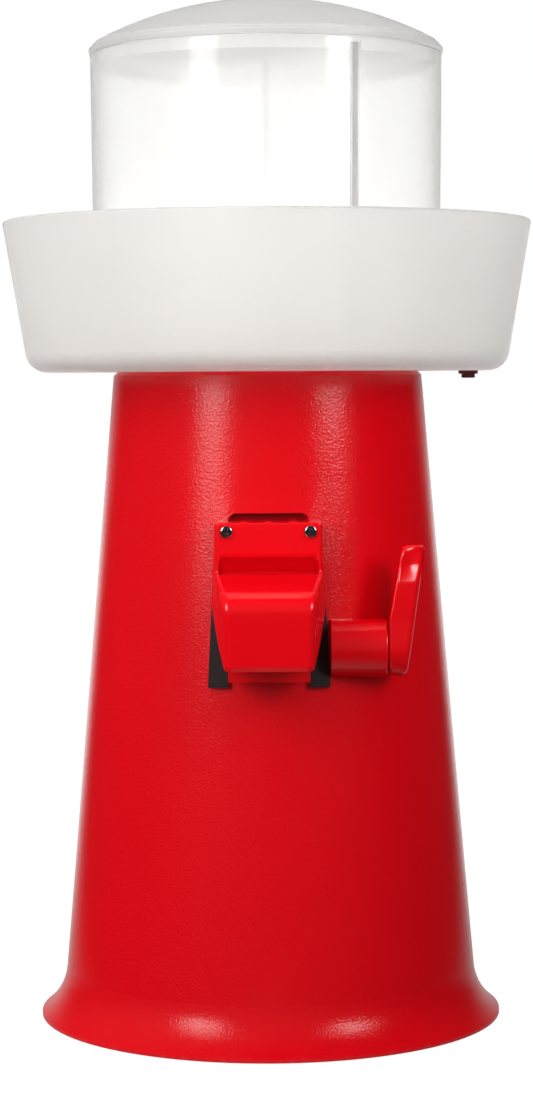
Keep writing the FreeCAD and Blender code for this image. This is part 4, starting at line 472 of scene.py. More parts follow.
@dataclass(frozen=True)
class PaintedShadePocket:
    """Place of a pocket that opens to the front, where painted shade darkens the colour as if shade fell
    inside it.
    """

    half_width: float
    front: float
    low: float
    high: float
    depth: float = 6 * MM
    edge: float = 0.3 * MM
    # Share of the colour left inside the pocket: painted shade
    tone: float = 0.68


@dataclass(frozen=True)
class Moulded(Finish):
    """Opaque moulded plastic or rubber."""

    specular: float = 0.5
    scuff_reach: float = 0.0
    scuff_share: float = 0.12
    scuff_colour: tuple[float, float, float] = (0.5, 0.42, 0.4)
    scuff_roughness: float = 0.25
    shade_pocket: PaintedShadePocket | None = None

    def shader(self, graph: Graph, place: bpy.types.NodeSocket) -> bpy.types.NodeSocket:
        """Principled shader with scuffs near the table and painted shade, a darker base colour, in the
        pocket.
        """
        given = self.inputs(graph, place)
        if self.scuff_reach:
            mask = graph.group("scuffs", {"Vector": place, "Reach": self.scuff_reach}).outputs["Mask"]
            pale = graph.add("Mix", {
                0: graph.math("MULTIPLY", mask, self.scuff_share), 6: given["Base Color"],
                7: (*self.scuff_colour, 1.0)}, data_type="RGBA")
            given["Base Color"] = pale.outputs[2]
            given["Roughness"] = graph.math("MULTIPLY_ADD", mask, self.scuff_roughness, given["Roughness"])
        # Painted shade: inside the pocket the base colour is scaled down, standing for the shade that falls
        # in the recess
        if self.shade_pocket:
            tone = self.painted_shade_factor(graph, place)
            given["Base Color"] = graph.add("VectorMath", {0: given["Base Color"], "Scale": tone},
                                            operation="SCALE").outputs[0]
        return graph.add("BsdfPrincipled", given | {"Specular IOR Level": self.specular}).outputs[0]

    def painted_shade_factor(self, graph: Graph, place: bpy.types.NodeSocket) -> bpy.types.NodeSocket:
        """Painted shade factor: the pocket's darkening where a point is inside its half width, depth and
        heights, and else 1.
        """
        x, y, z = graph.add("SeparateXYZ", {0: place}).outputs
        shade_pocket, edge = self.shade_pocket, self.shade_pocket.edge
        back = shade_pocket.front + shade_pocket.depth
        inside = graph.ramp(graph.math("ABSOLUTE", x), shade_pocket.half_width, shade_pocket.half_width - edge)
        for value, start, end in ((y, shade_pocket.front, shade_pocket.front + 2 * edge), (y, back, back - edge),
                                  (z, shade_pocket.low, shade_pocket.low + edge), (z, shade_pocket.high, shade_pocket.high - edge)):
            inside = graph.math("MULTIPLY", inside, graph.ramp(value, start, end))
        return graph.add("Mix", {0: inside, 2: 1.0, 3: shade_pocket.tone}).outputs[0]


@dataclass(frozen=True)
class SeeThrough(Finish):
    """Clear or frosted plastic, which lets lamps reach what is behind it."""

    grains: float = 300.0
    depth: float = 0.002 * MM
    clearness: float = 1.0
    index: float = 1.49
    shade: float = 0.85

    def shader(self, graph: Graph, place: bpy.types.NodeSocket) -> bpy.types.NodeSocket:
        """Principled glass, swapped for a plain tint where a lamp's ray passes."""
        glass = graph.add("BsdfPrincipled", self.inputs(graph, place) | {
            "IOR": self.index, "Transmission Weight": self.clearness})
        veil = graph.add("BsdfTransparent", {"Color": (self.shade, self.shade, self.shade, 1.0)})
        shadow = graph.add("LightPath").outputs["Is Shadow Ray"]
        return graph.add("MixShader", {0: shadow, 1: glass.outputs[0], 2: veil.outputs[0]}).outputs[0]


@dataclass(frozen=True)
class Metal(Finish):
    """Metal with fine tool marks."""

    grains: float = 2500.0
    depth: float = 0.002 * MM

    def shader(self, graph: Graph, place: bpy.types.NodeSocket) -> bpy.types.NodeSocket:
        """Metallic Principled shader with tool marks in its normal."""
        return graph.add("BsdfPrincipled", self.inputs(graph, place) | {"Metallic": 1.0}).outputs[0]


FINISHES = {finish.slot: finish for finish in (
    # The pocket on the grained red is painted shade: it darkens the slot above the hood where shade falls
    Moulded(Slot.GRAINED_RED, shown_colour(221, 1, 17), 0.17, 0.05, 0.05, grains=880.0, depth=0.08 * MM,
            specular=0.42, scuff_reach=4 * MM, shade_pocket=PaintedShadePocket(19.8 * MM, -90.4 * MM, 279 * MM, 291 * MM)),
    # The pocket on the gloss red is painted shade: it darkens the sunken band under the hood's panel
    Moulded(Slot.GLOSS_RED, shown_colour(235, 1, 17), 0.16, 0.04, 0.05, grains=500.0, depth=0.002 * MM,
            specular=0.6, shade_pocket=PaintedShadePocket(27.6 * MM, -114.95 * MM, 256.0 * MM, 267.2 * MM)),
    Moulded(Slot.BLACK, shown_colour(40, 24, 27), 0.48, 0.15, 0.1, grains=1100.0, depth=0.02 * MM,
            specular=0.25),
    Moulded(Slot.GREY, shown_colour(128, 131, 134), 0.45, 0.1, 0.1, grains=1100.0, depth=0.012 * MM),
    Moulded(Slot.WHITE, shown_colour(228, 228, 224), 0.4, 0.05, 0.1, grains=900.0, depth=0.006 * MM),
    Moulded(Slot.ACETAL, shown_colour(232, 231, 226), 0.32, 0.04, 0.08, grains=900.0, depth=0.003 * MM),
    SeeThrough(Slot.FROSTED, (0.9, 0.88, 0.86), 0.5, 0.03, 0.08, clearness=0.68, shade=0.8, grains=1400.0,
               depth=0.01 * MM),
    SeeThrough(Slot.CLEAR, (0.965, 0.962, 0.957), 0.14, 0.01, 0.05, clearness=0.85, index=1.45, shade=0.97),
    SeeThrough(Slot.LID, (0.77, 0.765, 0.755), 0.5, 0.03, 0.06, clearness=0.75, shade=0.9, grains=700.0),
    Metal(Slot.STEEL, (0.58, 0.58, 0.57), 0.32, 0.1, 0.15),
    Metal(Slot.BRIGHT_STEEL, (0.5, 0.5, 0.51), 0.16, 0.05, 0.08, depth=0.0008 * MM),
    Metal(Slot.BRONZE, (0.62, 0.40, 0.2), 0.38, 0.12, 0.12),
    Moulded(Slot.BLACK_RUBBER, shown_colour(34, 33, 34), 0.62, 0.2, 0.12, grains=1500.0, depth=0.015 * MM),
    Moulded(Slot.RED_RUBBER, shown_colour(88, 8, 17), 0.42, 0.12, 0.1, grains=1200.0, depth=0.008 * MM),
    SeeThrough(Slot.SILICONE, (0.86, 0.86, 0.84), 0.35, 0.04, 0.08, clearness=0.6, index=1.41, shade=0.7),
)}


def dress(*nodes: str) -> None:
    """Give CAD nodes that keep their shape the finish of their slot."""
    slots = {row["node"]: Slot(row["material_slot"]) for row in frame["record"]["subparts"]}
    for name in nodes:
        materials = frame["nodes"][name].data.materials
        for index in range(len(materials)):
            materials[index] = FINISHES[slots[name]].material()
        log.info("%s keeps its shape, in %s", name, slots[name].value)


# The room


@dataclass(frozen=True)
class Lamp:
    """Rectangular lamp: degrees to the right of the camera and above the horizon, metres, watts."""

    name: str
    azimuth: float
    elevation: float
    distance: float
    aim_z: float
    width: float
    height: float
    power: float
    spread: float


@dataclass
class Studio:
    """Camera at the photograph's place, soft lamps, pale floor and white surroundings."""

    lamps: tuple[Lamp, ...] = (
        Lamp("left_soft", -39, 22, 1.1, aim_z=0.40, width=0.33, height=0.8, power=0.75, spread=60),
        Lamp("right_soft", 46, 23, 1.0, aim_z=0.42, width=0.28, height=0.66, power=0.5, spread=50))
    camera_place: tuple[float, float, float] = (-0.0011, -1.554, 0.360)
    camera_pitch: float = -0.0655
    camera_roll: float = -0.0055
    lens: float = 88.75
    sensor: float = 36.0
    floor_half: float = 30.0
    floor_grey: float = 0.17
    floor_glow: float = 0.94
    floor_drift: float = 0.01
    floor_dim: float = 0.03
    dim_to_bright: tuple[float, float] = (-0.6, 0.3)
    bright_wedge: float = 2.0
    light_all_round: float = 0.15
    light_front: float = 0.75
    light_left: float = 1.3
    light_low: float = 0.55
    light_rear: float = 0.55
    light_above: float = 0.12
    mirror_front: float = 0.01
    mirror_rear: float = 0.5
    mirror_from_to: tuple[float, float] = (0.7, 1.0)
    through_front: float = 0.7
    through_from_to: tuple[float, float] = (-0.5, 0.5)

    def build(self) -> None:
        """Make all of it."""
        self.camera()
        for lamp in self.lamps:
            self.hang(lamp)
        self.floor()
        self.world()

    def camera(self) -> None:
        """Camera fitted to the outlines of the lid, tub and stand in the photograph."""
        data = bpy.data.cameras.new("camera")
        data.lens, data.sensor_width = self.lens, self.sensor
        camera = added("camera", data)
        tilt = Euler((math.pi / 2 + self.camera_pitch, 0, 0)).to_matrix()
        roll = Euler((0, 0, self.camera_roll)).to_matrix()
        camera.matrix_world = Matrix.Translation(self.camera_place) @ (tilt @ roll).to_4x4()
        bpy.context.scene.camera = camera

    @staticmethod
    def hang(lamp: Lamp) -> None:
        """Make a lamp that looks at the object's axis, at the lamp's aim height."""
        data = bpy.data.lights.new(lamp.name, "AREA")
        data.shape, data.energy, data.spread = "RECTANGLE", lamp.power, math.radians(lamp.spread)
        data.size, data.size_y = lamp.width, lamp.height
        turn, rise = math.radians(lamp.azimuth), math.radians(lamp.elevation)
        away = Vector((math.sin(turn) * math.cos(rise), -math.cos(turn) * math.cos(rise), math.sin(rise)))
        place = Matrix.Translation(Vector((0, 0, lamp.aim_z)) + away * lamp.distance)
        added(lamp.name, data).matrix_world = place @ away.to_track_quat("Z", "Y").to_matrix().to_4x4()

    def floor(self) -> None:
        """Pale floor that glows for the camera and keeps the object's shadow.

        In mirrors and through glass it is dim, except in a wedge behind the object.
        """
        half = self.floor_half
        mesh = bpy.data.meshes.new("floor")
        mesh.from_pydata([(-half, -half, 0), (half, -half, 0), (half, half, 0), (-half, half, 0)], [],
                         [(0, 1, 2, 3)])
        material = bpy.data.materials.new("floor_finish")
        graph = emptied(material)
        place = graph.add("TexCoord").outputs["Object"]
        grain = graph.add("TexNoise", {"Vector": place, "Scale": 6.0, "Detail": 3.0})
        grey = graph.add("MapRange", {"Value": grain.outputs[0], "To Min": self.floor_grey - self.floor_drift,
                                      "To Max": self.floor_grey + self.floor_drift}).outputs[0]
        x, y, _ = graph.add("SeparateXYZ", {0: place}).outputs
        wedge = graph.math("MULTIPLY_ADD", graph.math("ABSOLUTE", x), -self.bright_wedge, y)
        behind = graph.ramp(wedge, *self.dim_to_bright, self.floor_dim)
        share = graph.add("Mix", {0: self.mirrored(graph), 2: 1.0, 3: behind}).outputs[0]
        plain = graph.add("BsdfDiffuse", {"Color": graph.math("MULTIPLY", grey, share)})
        shown = graph.math("MULTIPLY", self.seen(graph), self.floor_glow)
        glow = graph.add("Emission", {"Strength": graph.math("MULTIPLY", shown, share)})
        both = graph.add("AddShader", {0: plain.outputs[0], 1: glow.outputs[0]})
        graph.add("OutputMaterial", {"Surface": both.outputs[0]})
        mesh.materials.append(material)
        added("floor", mesh)

    @staticmethod
    def mirrored(graph: Graph) -> bpy.types.NodeSocket:
        """1 for rays from a mirror or through glass."""
        path = graph.add("LightPath").outputs
        return graph.math("MAXIMUM", path["Is Glossy Ray"], path["Is Transmission Ray"])

    def seen(self, graph: Graph) -> bpy.types.NodeSocket:
        """1 for rays from the camera, a mirror or through glass, and 0 for light on the object."""
        return graph.math("MAXIMUM", graph.add("LightPath").outputs["Is Camera Ray"], self.mirrored(graph))

    def world(self) -> None:
        """Surroundings: white to the camera and behind glass, and soft light on the object.

        The light is an even part and parts that grow to the upper left, the front, the rear and
        upward. Mirrors see a dark front and a paler rear.
        """
        bpy.context.scene.world = bpy.data.worlds.new("room")
        graph = emptied(bpy.context.scene.world)
        x, y, z = graph.add("SeparateXYZ", {0: graph.add("TexCoord").outputs["Generated"]}).outputs
        left = graph.math("MULTIPLY", graph.math("MAXIMUM", graph.math("MULTIPLY", x, -self.light_left), 0.0),
                          graph.math("ADD", z, self.light_low))
        along = graph.math("MAXIMUM", graph.math("MULTIPLY", y, self.light_rear),
                           graph.math("MULTIPLY", y, -self.light_front))
        above = graph.math("MAXIMUM", graph.math("MULTIPLY", z, self.light_above), 0.0)
        sides = graph.math("ADD", left, along)
        light = graph.math("ADD", sides, graph.math("ADD", above, self.light_all_round))
        mirrored = graph.ramp(y, *self.mirror_from_to, self.mirror_front, self.mirror_rear)
        through = graph.ramp(y, *self.through_from_to, self.through_front)
        path = graph.add("LightPath").outputs
        strength = light
        for ray, seen in (("Glossy", mirrored), ("Transmission", through), ("Camera", 1.0)):
            strength = graph.add("Mix", {0: path[f"Is {ray} Ray"], 2: strength, 3: seen}).outputs[0]
        background = graph.add("Background", {"Color": (1.0, 1.0, 1.0, 1.0), "Strength": strength})
        graph.add("OutputWorld", {"Surface": background.outputs[0]})


# The dispenser, from the table up


@dataclass
class Stand:
    """Stand, base plate, feet, base screws and the power socket at the back."""

    foot_r: float = 9.0 * MM
    foot_circle: float = 88.0 * MM
    foot_first: float = 65.0
    foot_edge: float = 0.3 * MM
    foot_rings: tuple[float, float] = (2.6 * MM, 5.4 * MM)
    groove: float = 0.25 * MM
    screw_circle: float = 99.0 * MM
    screw_first: float = 20.0
    screw_head: tuple[float, float] = (3.4 * MM, 1.2 * MM)
    screw_shank: float = 1.45 * MM

    def build(self) -> None:
        """Make the turned pieces and dress the mouldings."""
        dress("tower_shell", "base_plate", "inlet_nut")
        self.feet()
        self.base_screws()
        self.inlet()

    def feet(self) -> None:
        """Five round feet with two ring grooves below.

        The profile runs from the axis out along the grooved sole, up the side and back.
        """
        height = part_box("rubber_feet")[1].z
        r, g, e = self.foot_r, self.groove, self.foot_edge
        profile = [(0, 0)]
        for ring in self.foot_rings:
            profile += [(ring, 0), (ring + g, g), (ring + 3 * g, g), (ring + 4 * g, 0)]
        profile += [(r - e, 0), (r, e), (r, height), (0, height)]
        centres = [(0.0, 0.0)] + self.quarters(self.foot_circle, self.foot_first)
        surface = Surface("grooved_feet")
        for x, y in centres:
            surface.turn(np.array(profile), (x, y, 0))
        surface.piece("stand", Slot.BLACK_RUBBER, "rubber_feet")

    def base_screws(self) -> None:
        """Four screws that hold the base plate."""
        low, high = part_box("base_screws")
        seat = low.z + self.screw_head[1]
        surface = Surface("cross_head_base_screws")
        for x, y in self.quarters(self.screw_circle, self.screw_first):
            screw(surface, (x, y, seat), Facing.DOWN, self.screw_head, (self.screw_shank, high.z - seat))
        surface.piece("stand", Slot.STEEL, "base_screws")

    @staticmethod
    def quarters(radius: float, first: float) -> list[tuple[float, float]]:
        """Four places a quarter turn apart on a circle, from a first angle in degrees."""
        angles = np.radians(first + 90.0 * np.arange(4))
        return [(radius * math.cos(angle), radius * math.sin(angle)) for angle in angles]

    def inlet(self) -> None:
        """Round low-voltage socket: flange, bore and centre pin, turned about Y."""
        low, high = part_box("power_inlet")
        centre_z = (low.z + high.z) / 2
        flange_r = (high.z - low.z) / 2
        flange, bore_r, pin_r, bore = 1.6 * MM, 2.9 * MM, 1.0 * MM, 10.0 * MM
        body_r, length = 4.0 * MM, high.y - low.y
        corners = [(0, -1 * MM), (pin_r, -1 * MM), (pin_r, -bore), (bore_r, -bore), (bore_r, 0),
                   (flange_r, 0), (flange_r, -flange), (body_r, -flange), (body_r, -length), (0, -length)]
        radii = [0.5 * MM, 0.1 * MM, 0.1 * MM, 0.4 * MM, 0.7 * MM, 0.1 * MM, 0.1 * MM, 0.3 * MM]
        surface = Surface("round_inlet")
        surface.turn(rounded(corners, radii), (0, high.y, centre_z), Facing.REAR)
        surface.piece("stand", Slot.BLACK, "power_inlet")


@dataclass
class Hood:
    """Red tap hood: screwed panel, recessed band, sloping shoulder, blunt nose, open below."""

    wall: float = 2.2 * MM
    rib_height: float = 0.7 * MM
    rib_r: float = 5.0 * MM
    rib_pitch: float = 13.0 * MM
    panel_y: float = -115.0 * MM
    ledge_y: float = -121.0 * MM
    shoulder_y: float = -155.0 * MM
    lip_y: float = -159.6 * MM
    heel: tuple[float, float] = (-100.0 * MM, 240.0 * MM)
    heel_r: float = 3.0 * MM
    back_clearance: float = 3.3 * MM
    back_half_high: float = 28.9 * MM
    back_half_low: float = 32.3 * MM
    front_half_high: float = 26.2 * MM
    front_half_low: float = 22.3 * MM
    back_y: float = -92.0 * MM
    ledge_height: float = 46.8 * MM
    shoulder_height: float = 40.6 * MM
    nose_height: float = 34.4 * MM
    cone_r: float = 86.3 * MM
    cone_slope: float = math.radians(5.0)
    edge_from: tuple[float, ...] = (0, 0.33, 0.68, 1.0)
    edge_to: tuple[float, ...] = (0, 0.12, 0.42, 1.0)
    corner_from: tuple[float, ...] = (0, 0.4, 0.66, 0.8, 1.0)
    corner_radii: tuple[float, ...] = (1.8 * MM, 2.2 * MM, 3.6 * MM, 4.2 * MM, 3.4 * MM)
    recess_share: float = 0.935
    recess_depth: float = 3.1 * MM
    recess_step: float = 0.5 * MM
    recess_drop: float = 1.5 * MM
    recess_edge: float = 1.0 * MM
    recess_corner: float = 3.2 * MM
    recess_top: float = 56.2 * MM
    columns: int = 160

    def build(self) -> None:
        """Make the hood and its screws."""
        low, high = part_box("tap_hood")
        self.lip_z, self.nose_y = low.z, low.y
        self.top_z = high.z - self.rib_height
        self.deck_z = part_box("tower_shell")[1].z
        outer, inner = self.wall_grid(False), self.wall_grid(True)
        surface = Surface("soft_hood")
        surface.grid(outer)
        surface.grid(inner)
        for edge in (np.s_[0], np.s_[-1], np.s_[:, 0], np.s_[:, -1]):
            surface.grid(np.stack([outer[edge], inner[edge]]))
        surface.piece("stand", Slot.GLOSS_RED, "tap_hood", sharp=50)
        self.screws()

    def outline(self, inner: bool) -> np.ndarray:
        """Side outline (y, z) from the top of the back, over the panel and nose, to the lip."""
        w = self.wall if inner else 0.0
        top, lip, nose = self.top_z, self.lip_z, self.nose_y
        ledge, panel = lip + self.ledge_height, self.panel_y + 1.7 * w
        corners = [
            (self.back_y, top - w), (panel, top - w), (panel, ledge + 0.6 * MM - w),
            (self.ledge_y + w, ledge - w),
            (self.shoulder_y, lip + self.shoulder_height - w), (nose + w, lip + self.nose_height - w / 2),
            (self.lip_y - 1.2 * MM + w, lip + 2.4 * MM), (self.lip_y + w, lip)]
        radii = ([0.4, 0.8, 0.4, 7.0, 7.0, 0.4] if inner else [1.3, 1.4, 0.6, 9.0, 9.5, 1.6])
        return rounded(corners, [r * MM for r in radii], 7, np.linspace(0, 0.97, 14))

    def half(self, y: np.ndarray, z: np.ndarray) -> np.ndarray:
        """Half width at a place of the side view: the four corner values blended by depth and height."""
        forward = (self.back_y - y) / (self.back_y - self.nose_y)
        down = (self.top_z - z) / (self.top_z - self.lip_z)
        back = self.back_half_high + (self.back_half_low - self.back_half_high) * down
        front = self.front_half_high + (self.front_half_low - self.front_half_high) * down
        return back + (front - back) * forward

    def back_at(self, x: np.ndarray, z: np.ndarray) -> np.ndarray:
        """Y where the hood ends on the stand's cone, a little off the chassis, at a place (x, z)."""
        slope = self.cone_slope
        radius = self.cone_r + (self.deck_z - z) * math.tan(slope) + self.back_clearance / math.cos(slope)
        return -np.sqrt(radius ** 2 - x ** 2)

    def lower_edge(self, outline: np.ndarray) -> np.ndarray:
        """Place (y, z) on the side's back and lower edge for each station of the outline.

        The edge falls along the cone, turns at the heel and runs to the lip. Stations share it
        out by the length that they have come along the outline, in three stretches.
        """
        start, turn = ((float(self.back_at(self.half(self.back_y, z), z)), z)
                       for z in (self.top_z - 8 * MM, self.heel[1]))
        end = (self.lip_y + 8 * MM, self.lip_z + 4 * MM)
        edge = rounded([start, turn, self.heel, end], [1.0 * MM, self.heel_r], 5)
        run, come = self.come(edge), self.come(outline)
        places = np.interp(come / come[-1], self.edge_from, run[-1] * np.array(self.edge_to))
        return np.stack([np.interp(places, run, edge[:, 0]), np.interp(places, run, edge[:, 1])], -1)

    @staticmethod
    def come(outline: np.ndarray) -> np.ndarray:
        """Length along an outline up to each of its points."""
        return np.concatenate([[0], np.cumsum(np.linalg.norm(np.diff(outline, axis=0), axis=1))])

    def wall_grid(self, inner: bool) -> np.ndarray:
        """One side of the hood's wall, from its left lower edge over the front to the right one.

        At each station the side wall is ruled from the lower edge to the corner of the outline.
        The corner point is C + r e (1 - sin a) + r f (1 - cos a), where e runs down the side, f
        across the front and a from 0 to a right angle. The front runs straight across, and is
        then moved by the ribs, the sunken band and the curved back edge.

        Args:
            inner: True for the inside of the wall.

        Returns:
            Grid of points, stations by columns by 3.
        """
        inset = self.wall if inner else 0.0
        outline = self.outline(inner)
        edge = self.lower_edge(self.outline(False))
        y, z = outline[:, 0], outline[:, 1]
        half = self.half(y, z) - inset
        corner = np.stack([-half, y, z], -1)
        foot = np.stack([inset - self.half(edge[:, 0], edge[:, 1]), edge[:, 0], edge[:, 1]], -1)
        down = unit(foot - corner)[:, None]
        across = np.array([1.0, 0, 0])
        reach = self.come(outline) / self.come(outline)[-1]
        radius = np.interp(reach, self.corner_from, self.corner_radii)
        radius = np.maximum(radius - 0.8 * inset, 0.6 * MM)[:, None, None]
        turn = np.linspace(0, np.pi / 2, 9)[None, :, None]
        bend = corner[:, None] + radius * (down * (1 - np.sin(turn)) + across * (1 - np.cos(turn)))
        share = np.linspace(0, 0.96, 12)[None, :, None]
        side = foot[:, None] + share * (bend[:, :1] - foot[:, None])
        left = np.concatenate([side, bend], 1)
        spread = np.linspace(-1, 1, self.columns + 1)[None, 1:-1]
        x = spread * (half[:, None] - radius[..., 0])
        front = np.stack([x, np.broadcast_to(y[:, None], x.shape), np.broadcast_to(z[:, None], x.shape)], -1)
        right = left[:, ::-1] * [-1, 1, 1]
        grid = np.concatenate([left, front, right], 1)
        if not inner:
            self.add_ribs(grid, outline)
            self.add_recess(grid, outline)
        self.trim_back(grid, y)
        return grid

    def add_ribs(self, grid: np.ndarray, outline: np.ndarray) -> None:
        """Raise three half-round ribs, each a circle's cap, where the outline faces up."""
        tangent = unit(np.gradient(outline, axis=0))
        upward = smooth((-tangent[:, 0] - 0.2) / 0.8) * (outline[:, 1] > self.top_z - 2 * MM)
        for side in (-1, 0, 1):
            off = grid[..., 0] - side * self.rib_pitch
            cap = np.sqrt(np.maximum(self.rib_r ** 2 - off ** 2, 0)) - (self.rib_r - self.rib_height)
            grid[..., 2] += np.maximum(cap, 0) * upward[:, None]

    def add_recess(self, grid: np.ndarray, outline: np.ndarray) -> None:
        """Sink the band below the panel between two round upper corners, down to the ledge.

        The distance to a tall rectangle is the length of what stands out past its inner corner
        points, less their radius. Inside it a small step is followed by a slope that goes in and
        down evenly to the foot, and from there the ledge comes back up to its front edge.
        """
        come = self.come(outline)
        top = np.interp(-(self.lip_z + self.recess_top), -outline[:, 1], come)
        foot = np.interp(-(self.panel_y - 0.4 * MM), -outline[:, 0], come)
        front = np.interp(-(self.ledge_y + 0.6 * MM), -outline[:, 0], come)
        wide = self.recess_share * self.half(outline[:, 0], outline[:, 1])
        past_x = np.abs(grid[..., 0]) - wide[:, None] + self.recess_corner
        past_s = (top - come + self.recess_corner)[:, None] + 0 * past_x
        outside = np.hypot(np.maximum(past_x, 0), np.maximum(past_s, 0))
        distance = outside + np.minimum(np.maximum(past_x, past_s), 0) - self.recess_corner
        inside = smooth(-distance / self.recess_edge)
        slope = np.interp(come, [top, foot, front], [0, 1, 0])[:, None]
        step = np.interp(come, [foot, front], [1, 0])[:, None]
        grid[..., 1] += inside * ((self.recess_depth - self.recess_step) * slope + self.recess_step * step)
        grid[..., 2] -= inside * self.recess_drop * slope

    def trim_back(self, grid: np.ndarray, y: np.ndarray) -> None:
        """Stretch the top and the upper sides so that the back edge lies on the cone."""
        share = np.clip((y - self.panel_y) / (self.back_y - self.panel_y), 0, 1)[:, None]
        on_top = (grid[..., 1] > self.panel_y) & (share > 0)
        wanted = self.back_at(grid[..., 0], grid[..., 2])
        moved = grid[..., 1] + share * (wanted - self.back_y)
        grid[..., 1] = np.where(on_top, np.minimum(moved, wanted), grid[..., 1])

    def screws(self) -> None:
        """Two pan-head screws on the panel."""
        low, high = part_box("hood_screws")
        head_r = (high.z - low.z) / 2
        place_x, place_z = high.x - head_r, (high.z + low.z) / 2
        head, shank = (head_r, self.panel_y - low.y), (1.5 * MM, high.y - self.panel_y)
        surface = Surface("cross_head_hood_screws")
        for x in (-place_x, place_x):
            screw(surface, (x, self.panel_y, place_z), Facing.FRONT, head, shank)
        surface.piece("stand", Slot.BRIGHT_STEEL, "hood_screws")


@dataclass
class Tap:
    """Chassis, nozzle block, lever unit and the hood over them."""

    hub: tuple[float, float] = (-92.0 * MM, 216.0 * MM)
    hub_r: float = 14.8 * MM
    tip: tuple[float, float] = (-92.5 * MM, 261.4 * MM)
    tip_r: float = 9.5 * MM
    bend_z: float = 231.0 * MM
    inner_top: float = 71.2 * MM
    outer_low: float = 73.2 * MM
    inner_edge: float = 1.5 * MM
    outer_edge: float = 3.0 * MM
    dish_z: float = 262.5 * MM
    dish_half: float = 12.0 * MM
    dish_depth: float = 3.2 * MM
    front_lean: float = 0.5

    def build(self) -> None:
        """Dress the tap's mouldings and make the hood and the thumb lever."""
        dress("tap_chassis", "chassis_screws", "nozzle_block", "nozzle_block_screws", "lever_housing",
              "housing_screws", "lever_bushes", "lever_return_spring", "lever_shaft", "switch_cam",
              "microswitch", "switch_plunger", "switch_screws")
        Hood().build()
        self.lever()

    def lever_outline(self) -> tuple[np.ndarray, np.ndarray, np.ndarray]:
        """Side outline of the lever as centre, radius and direction of each point.

        The outline is the two end circles and their outer tangents, on which both radius and
        centre change evenly from one circle to the other.
        """
        hub, tip = np.array(self.hub), np.array(self.tip)
        across, along = np.linalg.norm(tip - hub), math.atan2(*(tip - hub)[::-1])
        spread = math.acos((self.hub_r - self.tip_r) / across)
        line, hub_arc, tip_arc = np.linspace(0, 1, 40)[1:-1], 48, 32
        low, high = along - spread, along + spread
        angle = np.concatenate([
            np.linspace(high, low + 2 * np.pi, hub_arc), np.full(len(line), low),
            np.linspace(low, high, tip_arc), np.full(len(line), high)])
        share = np.concatenate([np.zeros(hub_arc), line, np.ones(tip_arc), line[::-1]])
        centre = hub + share[:, None] * (tip - hub)
        radius = self.hub_r + share * (self.tip_r - self.hub_r)
        return centre, radius, np.stack([np.cos(angle), np.sin(angle)], -1)

    def lever(self) -> None:
        """Thumb lever: a bar between two faces with round edges, and a dish for the thumb.

        Each ring lies at centre + s radius direction. s grows from 0 over the inner face, turns
        the inner edge, stays while the ring moves outward, turns the outer edge and falls to 0.
        X blends between the leaning inner and outer faces. The dish is a bump function of height
        times one less half the square of the place across, and the front falls back outward.
        """
        low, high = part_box("lever")
        centre, radius, direction = self.lever_outline()
        faces = np.array([0.0, 0.25, 0.5, 0.75, 0.93])
        turn, across = np.linspace(0, np.pi / 2, 8), np.linspace(0, 1, 20)[1:-1]
        face, bend, side = 0 * faces, 0 * turn, 0 * across
        inner, outer = self.inner_edge, self.outer_edge
        stretches = [
            (faces, face + inner, face, face, face),
            (bend + 1, inner * (1 - np.sin(turn)), bend, inner * (1 - np.cos(turn)), bend),
            (side + 1, side, across, side, side),
            (bend + 1, outer * (1 - np.cos(turn)), bend + 1, bend, outer * (1 - np.sin(turn))),
            (faces[::-1], face + outer, face + 1, face, face)]
        scale, inset, blend, shift_in, shift_out = (
            np.concatenate(part)[:, None] for part in zip(*stretches))
        flat = centre + (scale * (radius - inset))[..., None] * direction
        y, z = flat[..., 0], flat[..., 1]
        height = smooth((z - self.bend_z + 4 * MM) / (8 * MM)) * (z - self.bend_z)
        inner_x = low.x + np.maximum(height, 0) * (self.inner_top - low.x) / (high.z - self.bend_z)
        outer_x = self.outer_low + (z - low.z) * (high.x - self.outer_low) / (high.z - low.z)
        start, end = inner_x + inner * (blend > 0), outer_x - outer * (blend < 1)
        x = start + blend * (end - start)
        x = np.where(blend == 0, inner_x + shift_in, x)
        x = np.where(blend == 1, outer_x - shift_out, x)
        front = smooth(-direction[:, 0] * scale)
        bump = np.maximum(1 - ((z - self.dish_z) / self.dish_half) ** 2, 0) ** 2
        wide = 1 - 0.5 * (2 * (x - inner_x) / (outer_x - inner_x) - 1) ** 2
        y = y + front * (self.dish_depth * bump * wide + self.front_lean * (x - inner_x))
        surface = Surface("thumb_lever")
        surface.grid(np.stack([x, y, z], -1), wrap=True)
        surface.piece("lever", Slot.GLOSS_RED, "lever", sharp=60)


@dataclass
class Pump:
    """Everything inside the stand that moves the drinks."""

    rollers: int = 4

    def build(self) -> None:
        """Dress the pump, its motor, tubes, leads and fittings."""
        dress("pump_frame", "pump_bushes", "pump_rotor", "pump_shaft", "roller_axles", "gearbox", "motor",
              "motor_screws", "left_tube", "centre_tube", "right_tube", "outlet_couplers", "coupler_nuts",
              "inlet_lead", "motor_lead", *(f"pump_roller_{i + 1}" for i in range(self.rollers)))


